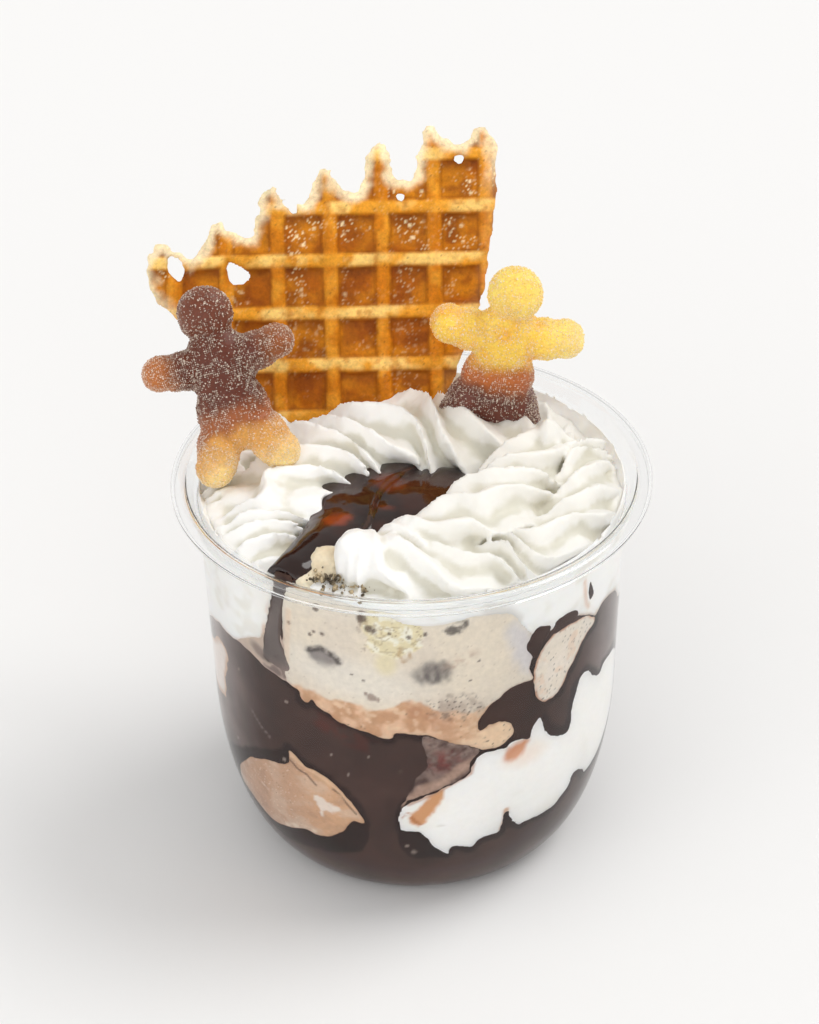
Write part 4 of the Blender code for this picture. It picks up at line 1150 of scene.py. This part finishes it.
def spline(knots, step):
    """A curve through the knots, with points a step apart."""
    knots = np.asarray(knots, float)
    ends = np.concatenate([2 * knots[:1] - knots[1:2], knots, 2 * knots[-1:] - knots[-2:-1]])
    pieces = []
    for before, start, stop, beyond in zip(ends, ends[1:], ends[2:], ends[3:]):
        count = max(2, int(np.linalg.norm((stop - start)[:3]) / step))
        share = (np.arange(count) / count)[:, None]
        pieces.append(between(before, start, stop, beyond, share))
    return np.concatenate(pieces + [knots[-1:]])


def uneven(values, seed):
    """Smooth unevenness along a line, from -1 to 1, a swing to each unit of length."""
    steps = np.random.default_rng(seed).uniform(-1, 1, 64)
    cell = np.floor(values).astype(int)
    part = values - cell
    ease = part * part * (3 - 2 * part)
    return steps[cell % 64] * (1 - ease) + steps[(cell + 1) % 64] * ease


def join_rings(bm, pairs):
    """Faces between each pair of rings of points."""
    for low, high in pairs:
        for j in range(len(low)):
            after = (j + 1) % len(low)
            bm.faces.new((low[j], low[after], high[after], high[j]))


def rope(bm, points, wide, tall, depth, turns):
    """Sweep a section with sharp ridges and broad hollows along points, turning by an angle for each."""
    rings = []
    count = ROPE_RIDGES * RIDGE_POINTS
    for k, point in enumerate(points):
        along = Vector(points[min(k + 1, len(points) - 1)] - points[max(k - 1, 0)]).normalized()
        across = along.cross(Vector((0, 0, 1)))
        across = across.normalized() if across.length > 0.2 else Vector((1, 0, 0))
        side = across.cross(along)
        ring = []
        for j in range(count):
            turn = 2 * math.pi * j / count + turns[k]
            reach = 1 - depth[k] * abs(math.sin(math.pi * j / count * ROPE_RIDGES))
            spoke = side * tall[k] * math.cos(turn) + across * wide[k] * math.sin(turn)
            ring.append(bm.verts.new((Vector(point) + spoke * reach) * MM))
        rings.append(ring)
    join_rings(bm, zip(rings, rings[1:]))
    bm.faces.new(rings[0][::-1])
    bm.faces.new(rings[-1])


def cream_bed(bm):
    """A closed ring of cream under the ropes, wavy on top and lower towards the back."""
    rings = []
    for radius, height, wave, drop in BED_SECTION:
        ring = []
        for angle in 360 * np.arange(BED_SEGMENTS) / BED_SEGMENTS:
            back = drop * (1 - math.cos(math.radians(angle))) / 2
            lift = wave * math.sin(math.radians(angle) * 7 + radius) + height - back
            ring.append(bm.verts.new(Vector(polar(angle, radius, lift)) * MM))
        rings.append(ring)
    join_rings(bm, zip(rings, rings[1:] + rings[:1]))


def make_cream():
    bm = bmesh.new()
    for seed, knots in enumerate(ROPES, 151):
        line = spline(knots, ROPE_STEP)
        hops = np.linalg.norm(np.diff(line[:, :3], axis=0), axis=1)
        length = np.concatenate([[0], np.cumsum(hops)])
        swell = 1.05 + 0.07 * uneven(length / 5, seed) + 0.09 * uneven(length / 9, seed + 10)
        turns = 2 * math.pi * length / RIDGE_PITCH + 1.3 * uneven(length / 10, seed + 20)
        drift = np.stack([uneven(length / 8, seed + 30 + k) for k in range(3)], -1)
        centre = line[:, :3] + drift * (1, 1, 0.7)
        depth = RIDGE_DEPTH * (0.25 + 0.75 * ramp(length, 2, 14))
        rope(bm, centre, line[:, 3] * swell, line[:, 4] * swell, depth, turns)
    share = np.linspace(0, 1, 26)
    peak = np.array(PEAK_FOOT) + share[:, None] * (np.array(PEAK_TIP) - PEAK_FOOT)
    width = 7.2 * (1 - share) ** 0.9 + 0.35
    rope(bm, peak, width, width, 0.3 + 0 * share, 1.6 * share)
    cream_bed(bm)
    obj = object_from(bm, "piped_cream")
    melt(obj, 0.6, 2)
    points = mesh_points(obj)
    shift = np.stack([fractal(points, 12, 157 + k, 2) for k in range(3)], -1)
    points = points + 1.1 * shift * (1, 1, 0.6)
    rough = 0.34 * fractal(points, 4.0, 161) + 0.07 * fractal(points, 1.6, 163)
    points = press_to_wall(points + point_normals(obj) * rough[:, None], CREAM_GAP)
    move_points(obj, points)
    # Painted light: the cream paler on the left, in painted shade towards the right
    colour = mix(linear(252, 251, 248), linear(241, 239, 233), ramp(points[:, 0], -12, 12))
    # Painted shade: darker, warmer cream in the hollows
    colour = mix(colour, linear(212, 208, 190), ramp(hollows(obj, 30), 0.02, 0.5) * 0.75)
    paint_mesh(obj.data, colour)
    return finish(obj, cream_material(), "cream", "whipped_cream")


# The waffle piece

WAFFLE_FOOT = (0, 27.6, 85.3)
WAFFLE_LEAN = 30
WAFFLE_THICKNESS = 3.2
CELL_PITCH = 10.6
CELL_ORIGIN = (-5.0, 4.1)
TEETH = [  # along the waffle, height of the rib's broken tip, depth of the bay after it
    (-49.7, 29.3, 2.6), (-38.6, 33.4, 2.5), (-27.4, 40.0, 2.8), (-16.4, 43.8, 4.2),
    (-5.6, 48.7, 7.0), (5.4, 51.7, 3.0), (15.6, 51.6, 0),
]
HOLES = [  # outlines of the holes
    [(-36.2, 25.4), (-32.2, 22.4), (-35.4, 20.4), (-36.4, 22.4)],
    [(-25.2, 37.2), (-22.2, 38.2), (-22.6, 35.0)],
    [(-48.4, 26.6), (-45.6, 25.2), (-46.2, 21.6), (-48.6, 23.4)],
    [(9.6, 45.6), (11.8, 45.8), (11.2, 43.9)],
    [(-2.0, 38.4), (-0.3, 38.2), (-1.0, 37.0)],
]
WAFFLE_STEP = 0.36


def waffle_outline():
    edge = [(-53.2, 24.6), (-52.6, 27.2)]
    for (along, height, bay), after in zip(TEETH, TEETH[1:] + [(19.0, 50.2, 0)]):
        edge += [(along - 2.1, height - 2.0), (along - 1.3, height - 0.4), (along, height)]
        edge += [(along + 1.2, height - 0.4), (along + 2.0, height - 1.7)]
        if bay:
            middle = (along + after[0]) / 2
            base = min(height, after[1]) - bay
            edge += [(middle - 2.4, base + 0.6), (middle - 0.4, base - 0.3), (middle + 1.7, base + 0.2)]
    edge += [(18.5, 48.0), (18.4, 43.5), (18.1, 37.0), (17.4, 30.6), (16.4, 24.3), (14.3, 14.5), (7.4, -3.0),
             (4, -10.8), (-25, -10.8), (-31, -3.0), (-37.5, 4), (-44.0, 11.0), (-48, 14.6), (-51.3, 18.0),
             (-52.8, 21)]
    return np.array(edge, float)


def waffle_place():
    lean = Matrix.Rotation(math.radians(90 - WAFFLE_LEAN), 4, "X")
    return Matrix.Translation(Vector(WAFFLE_FOOT)) @ lean


def transformed(points, matrix):
    turn = np.array(matrix)
    return points @ turn[:3, :3].T + turn[:3, 3]


def from_rib(along, start):
    """Distance from the middle of the nearest rib, for ribs a cell apart."""
    return np.abs((along - start + CELL_PITCH / 2) % CELL_PITCH - CELL_PITCH / 2)


def waffle_heights(u, v, inside, at):
    """Half the waffle's thickness, and how much of each point is rib."""
    nearest = np.minimum(from_rib(u, CELL_ORIGIN[0]), from_rib(v, CELL_ORIGIN[1]))
    rib = 1 - ramp(nearest + 0.22 * fractal(at, 4, 171), 0.5, 2.4)
    half = 0.62 + (WAFFLE_THICKNESS / 2 - 0.72) * rib + 0.10 * fractal(at, 2.4, 173)
    half = half + 0.04 * fractal(at, 0.8, 175)
    return half * np.sqrt(np.clip((inside + 0.25) / 1.1, 0.05, 1)), rib


def make_waffle():
    across, along = np.arange(-55, 21, WAFFLE_STEP), np.arange(-12, 54, WAFFLE_STEP)
    u, v = np.meshgrid(across, along, indexing="ij")
    flat = np.stack([u.ravel(), v.ravel()], -1)
    at = np.stack([flat[:, 0], flat[:, 1], np.zeros(len(flat))], -1)
    loop = smooth_loop(waffle_outline())
    solid = distance_inside(flat, loop)
    lace = ramp(flat[:, 1] - 0.42 * flat[:, 0], 38, 50)
    inside = solid + (0.3 + 0.25 * lace) * fractal(at, 1.7, 177, 2)
    for outline in HOLES:
        inside = np.minimum(inside, 0.3 * fractal(at, 1.4, 179) - distance_inside(flat, smooth_loop(outline)))
    inside_grid = inside.reshape(u.shape)
    slope = np.stack(np.gradient(inside_grid, WAFFLE_STEP), -1)
    slope /= np.maximum(np.linalg.norm(slope, axis=-1, keepdims=True), 0.3)
    pull = np.where(inside_grid < 0, -inside_grid, 0)[..., None] * slope
    half, rib = waffle_heights(flat[:, 0], flat[:, 1], inside, at)
    plane = np.stack([u, v], -1) + pull
    front = np.concatenate([plane, half.reshape(*u.shape, 1)], -1)
    back = np.concatenate([plane, -half.reshape(*u.shape, 1)], -1)
    points, faces, source = two_sided(front, back, inside_grid > -WAFFLE_STEP)
    points = transformed(points, waffle_place())
    colour = waffle_paint(flat, solid, rib, at)
    obj = add_mesh("waffle_piece", points, faces, colour[source])
    return finish(obj, waffle_material(), "waffle", "waffle")


def waffle_paint(flat, solid, rib, at):
    """Pale level ribs and darker upright ones, painted light and shade; browner cells with a painted shadow
    under each level rib and painted shade where they meet the ribs; pale ragged edges; painted glints of
    light through tiny pores.
    """
    u, v = flat.T
    floor = mix(linear(172, 92, 3), linear(202, 124, 16), ramp(fractal(at, 5, 181), -0.5, 0.6))
    floor = mix(floor, linear(134, 62, 2), ramp(fractal(at, 3.0, 183), 0.0, 0.7) * 0.6)
    # Painted shadow: cells darker just under each level rib
    below = (CELL_ORIGIN[1] - v) % CELL_PITCH
    floor = mix(floor, linear(122, 56, 2), (1 - ramp(below, 2.0, 4.4)) * 0.6)
    # Painted shade: cells darker where they meet the ribs
    corner = ramp(rib, 0.02, 0.4) * (1 - ramp(rib, 0.5, 0.8))
    floor = mix(floor, linear(116, 52, 2), corner * 0.5)
    # Painted light: level ribs paler, as lit from above; upright ribs darker, in painted shade
    level = 1 - ramp(from_rib(v, CELL_ORIGIN[1]), 0.7, 1.8)
    upright = mix(linear(208, 124, 14), linear(228, 152, 40), ramp(fractal(at, 3, 185), -0.3, 0.7))
    lit_level = mix(linear(232, 158, 44), linear(252, 208, 118), ramp(fractal(at, 4.5, 193), -0.3, 0.6))
    ridge = mix(upright, lit_level, level)
    ridge = mix(ridge, linear(190, 106, 10), ramp(fractal(at, 1.6, 195), 0.35, 0.9) * 0.5)
    colour = mix(floor, ridge, ramp(rib, 0.2, 0.95))
    pale = 1 - ramp(solid + 0.8 * fractal(at, 2.0, 187), 0.4, 3.0)
    top = ramp(v - 0.40 * u, 30, 42)
    colour = mix(colour, linear(255, 236, 194), pale * (0.06 + 0.88 * top))
    # Painted glints: pale specks standing for light through tiny pores, more of them towards the top
    cluster = ramp(fractal(at, 4.5, 197), -0.2, 0.4) * (0.25 + 0.75 * ramp(v - 0.2 * u, 12, 36))
    cluster = cluster * (1 - 0.8 * rib)
    glint = np.maximum(specks(flat, 0.8, 0.20, 189, 0.8), specks(flat, 1.7, 0.42, 199, 0.45))
    colour = mix(colour, linear(255, 236, 190), glint * cluster * 0.85)
    pores = specks(flat, 1.5, 0.15, 191, 0.6) * (0.3 + 0.4 * rib)
    return mix(colour, linear(88, 40, 8), pores * 0.7)


# The gummy figures

GUMMY_PARTS = [
    ((0, 31.3), (5.5, 5.6), 0), ((0, 20.5), (6.8, 8.6), 0), ((0, 11.5), (7.3, 8.0), 0),
    ((-7.4, 21.8), (5.6, 3.9), -4), ((7.4, 21.8), (5.6, 3.9), 4),
    ((-11.6, 22.5), (3.8, 3.5), 0), ((11.6, 22.5), (3.8, 3.5), 0),
    ((-5.0, 5.0), (4.3, 6.6), -18), ((5.0, 5.0), (4.3, 6.6), 18),
    ((-6.7, 1.6), (3.8, 3.8), 0), ((6.7, 1.6), (3.8, 3.8), 0),
]
JOINED_LEGS = [((0, 5.0), (7.0, 7.0), 0)]
GUMMY_LEFT = ((-31.6, -0.5, 83.6), 25, 15)
GUMMY_RIGHT = ((15.6, 17.5, 81.5), -3, -10)
GUMMY_HALF = 5.0
GUMMY_BACK = 2.75
SUGAR_COUNT = 16500   # places tried on each figure
GRAIN_CORNERS = np.array([(1, 0, 0), (-1, 0, 0), (0, 1, 0), (0, -1, 0), (0, 0, 1), (0, 0, -1)], float)
GRAIN_FACES = np.array([
    (0, 2, 4), (2, 1, 4), (1, 3, 4), (3, 0, 4), (2, 0, 5), (1, 2, 5), (3, 1, 5), (0, 3, 5),
])
GRAIN_SIZE = (0.09, 0.24)


def gummy_place(where):
    foot, lean, roll = where
    stand = Matrix.Rotation(math.radians(90 - lean), 4, "X")
    return Matrix.Translation(Vector(foot)) @ stand @ Matrix.Rotation(math.radians(roll), 4, "Z")


def left_paint(points):
    """Brown above, golden below, with orange-brown hands whose paleness is partly a painted glow of light
    through the jelly, strongest on the left.
    """
    x, y = points[:, 0], points[:, 1]
    wavy = y + 1.8 * fractal(points, 6, 201) - 0.12 * x
    colour = mix(linear(252, 218, 146), linear(222, 162, 80), ramp(wavy, 0, 6))
    colour = mix(colour, linear(164, 90, 44), ramp(wavy, 6, 10))
    colour = mix(colour, linear(98, 40, 20), ramp(wavy, 10, 15))
    # Painted glow: the hands paler orange-brown, as lit through from behind, the left one most
    hand_glow = (ramp(-x, 7, 12) + 0.45 * ramp(x, 7, 12)) * ramp(y, 15, 18)
    colour = mix(colour, linear(196, 116, 50), hand_glow * 0.85)
    return mix(colour, linear(112, 56, 34), ramp(y, 25, 31) * 0.8)


def right_paint(points):
    """Pale yellow above and paler still on the right side in painted light, orange-brown at the waist and
    dark brown below.
    """
    x, y = points[:, 0], points[:, 1] + 1.2 * fractal(points, 5, 203)
    colour = mix(linear(253, 208, 84), linear(246, 182, 52), ramp(fractal(points, 5, 205), -0.3, 0.7))
    colour = mix(colour, linear(255, 222, 112), ramp(y, 24, 30) * 0.8)
    # Painted light: the figure's right side paler, as lit through from the right
    colour = mix(colour, linear(255, 226, 130), ramp(x, 5, 12) * 0.8)
    colour = mix(linear(192, 106, 44), colour, ramp(y, 13.5, 18.0))
    return mix(linear(106, 52, 36), colour, ramp(y, 8.5, 13.5))


def make_gummy(name, where, paint, seed, frost, extra=()):
    bm = bmesh.new()
    for (x, y), (wide, tall), turn in (*GUMMY_PARTS, *extra):
        ellipsoid(bm, (x, y, 0), (wide, tall, GUMMY_HALF), (0, 0, turn))
    obj = object_from(bm, name + "_jelly")
    melt(obj, 0.4, 8)
    points = mesh_points(obj)
    points[:, 2] = np.maximum(points[:, 2], -GUMMY_BACK)
    local = points + point_normals(obj) * (0.12 * fractal(points, 1.4, seed))[:, None]
    colour = paint(local)
    move_points(obj, transformed(local, gummy_place(where)))
    paint_mesh(obj.data, colour)
    finish(obj, gummy_material(name + "_jelly", frost), "gummy", name)
    return add_sugar(obj, name, local, colour, seed)


def add_sugar(obj, name, local, colour, seed):
    """Small sugar crystals all over the figure, closer together in some places."""
    rng = np.random.default_rng(seed)
    points = mesh_points(obj)
    normals = point_normals(obj)
    chosen = rng.choice(len(points), SUGAR_COUNT, replace=False)
    dense = 0.4 + 0.6 * ramp(fractal(local[chosen], 2.6, seed + 5), -0.3, 0.4)
    chosen = chosen[rng.random(SUGAR_COUNT) < dense]
    spin, _ = np.linalg.qr(rng.normal(size=(len(chosen), 3, 3)))
    spin *= np.sign(np.linalg.det(spin))[:, None, None]
    size = rng.uniform(*GRAIN_SIZE, (len(chosen), 1, 1)) * rng.uniform(0.7, 1.3, (len(chosen), 1, 3))
    grains = (GRAIN_CORNERS[None] * size) @ spin.transpose(0, 2, 1)
    grains += (points[chosen] + normals[chosen] * 0.04)[:, None]
    faces = (GRAIN_FACES[None] + 6 * np.arange(len(chosen))[:, None, None]).reshape(-1, 3)
    shade = mix(linear(255, 240, 220), colour[chosen], rng.uniform(0.3, 1.0, len(chosen)))
    sugar = add_mesh(name + "_sugar", grains.reshape(-1, 3), faces, np.repeat(shade, 6, 0), False)
    return finish(sugar, bpy.data.materials.get("sugar") or sugar_material(), "gummy")


# Crumbs

CRUMB_COUNT = 230


def make_crumbs():
    """Cookie crumbs of all sizes where the scoop meets the front cream."""
    rng = np.random.default_rng(211)
    bm = bmesh.new()
    for _ in range(CRUMB_COUNT):
        share = rng.random() ** 1.3
        x = -17.8 + 9.0 * share + rng.normal() * 1.0
        y = -35.4 - 2.2 * share + rng.normal() * 1.3
        z = 81.3 - 1.6 * share + rng.normal() * 0.5
        size = 0.10 + 0.42 * rng.random() ** 3
        ellipsoid(bm, (x, y, z), size * rng.uniform(0.5, 1.4, 3), rng.uniform(0, 180, 3), 2)
    obj = object_from(bm, "cookie_crumbs")
    points = mesh_points(obj)
    rough = 0.14 * fractal(points, 0.6, 213)
    move_points(obj, points + point_normals(obj) * rough[:, None])
    colour = mix(linear(84, 74, 60), linear(186, 168, 136), ramp(fractal(points, 1.6, 215), -0.3, 0.5))
    paint_mesh(obj.data, colour)
    return finish(obj, crumb_material(), "cookie_ice_cream")


# Floor, light and camera

FLOOR_HALF = 4.0    # metres


def make_floor():
    mesh = bpy.data.meshes.new("floor")
    bm = bmesh.new()
    bmesh.ops.create_grid(bm, x_segments=1, y_segments=1, size=FLOOR_HALF)
    bm.to_mesh(mesh)
    bm.free()
    made, _, shader = new_material("floor")
    set_inputs(shader, base=(0.86, 0.86, 0.86, 1), rough=0.7, specular=0.2)
    mesh.materials.append(made)
    link("floor", mesh)


def add_sun(name, power, spread, towards, colour):
    """A broad light from far away; spread is its width in degrees."""
    light = bpy.data.lights.new(name, "SUN")
    light.energy = power
    light.angle = math.radians(spread)
    light.color = colour
    link(name, light).rotation_euler = Vector(towards).to_track_quat("-Z", "Y").to_euler()


def make_light():
    world = bpy.data.worlds.new("studio")
    world.use_nodes = True
    back = world.node_tree.nodes["Background"]
    back.inputs["Color"].default_value = (1, 0.988, 0.972, 1)
    back.inputs["Strength"].default_value = 0.70
    bpy.context.scene.world = world
    add_sun("window", 1.2, 32, (-0.72, -0.22, -1), (1, 0.99, 0.975))
    add_sun("front_panel", 1.5, 100, (0.34, 1, -0.12), (1, 1, 1))


CAMERA_TARGET = Vector((-0.51, 0, 71.97))
CAMERA_DISTANCE = 596.61
CAMERA_ELEVATION = math.radians(33.32)
CAMERA_ROLL = math.radians(-1.08)
CAMERA_FOCUS = 3000 / 1024    # focal length as a share of the picture's height


def make_camera():
    data = bpy.data.cameras.new("camera")
    data.sensor_width = 36
    data.lens = 36 * CAMERA_FOCUS
    camera = link("camera", data)
    forward = Vector((0, math.cos(CAMERA_ELEVATION), -math.sin(CAMERA_ELEVATION)))
    right = Vector((1, 0, 0))
    up = right.cross(forward)
    turned_right = right * math.cos(CAMERA_ROLL) + up * math.sin(CAMERA_ROLL)
    turned_up = up * math.cos(CAMERA_ROLL) - right * math.sin(CAMERA_ROLL)
    turn = Matrix((turned_right, turned_up, -forward)).transposed().to_4x4()
    place = (CAMERA_TARGET - forward * CAMERA_DISTANCE) * MM
    camera.matrix_world = Matrix.Translation(place) @ turn
    bpy.context.scene.camera = camera


make_camera()
make_floor()
make_light()
make_cup()
make_sauce()
make_faces()
make_skirt()
make_runs()
make_pool()
make_scoop_peak()
make_cream()
make_waffle()
make_gummy("gummy_left", GUMMY_LEFT, left_paint, 221, (0.16, 0.10, 0.07))
make_gummy("gummy_right", GUMMY_RIGHT, right_paint, 231, (0.05, 0.08, 0.10), JOINED_LEGS)
make_crumbs()
bpy.context.scene.view_settings.view_transform = "Standard"
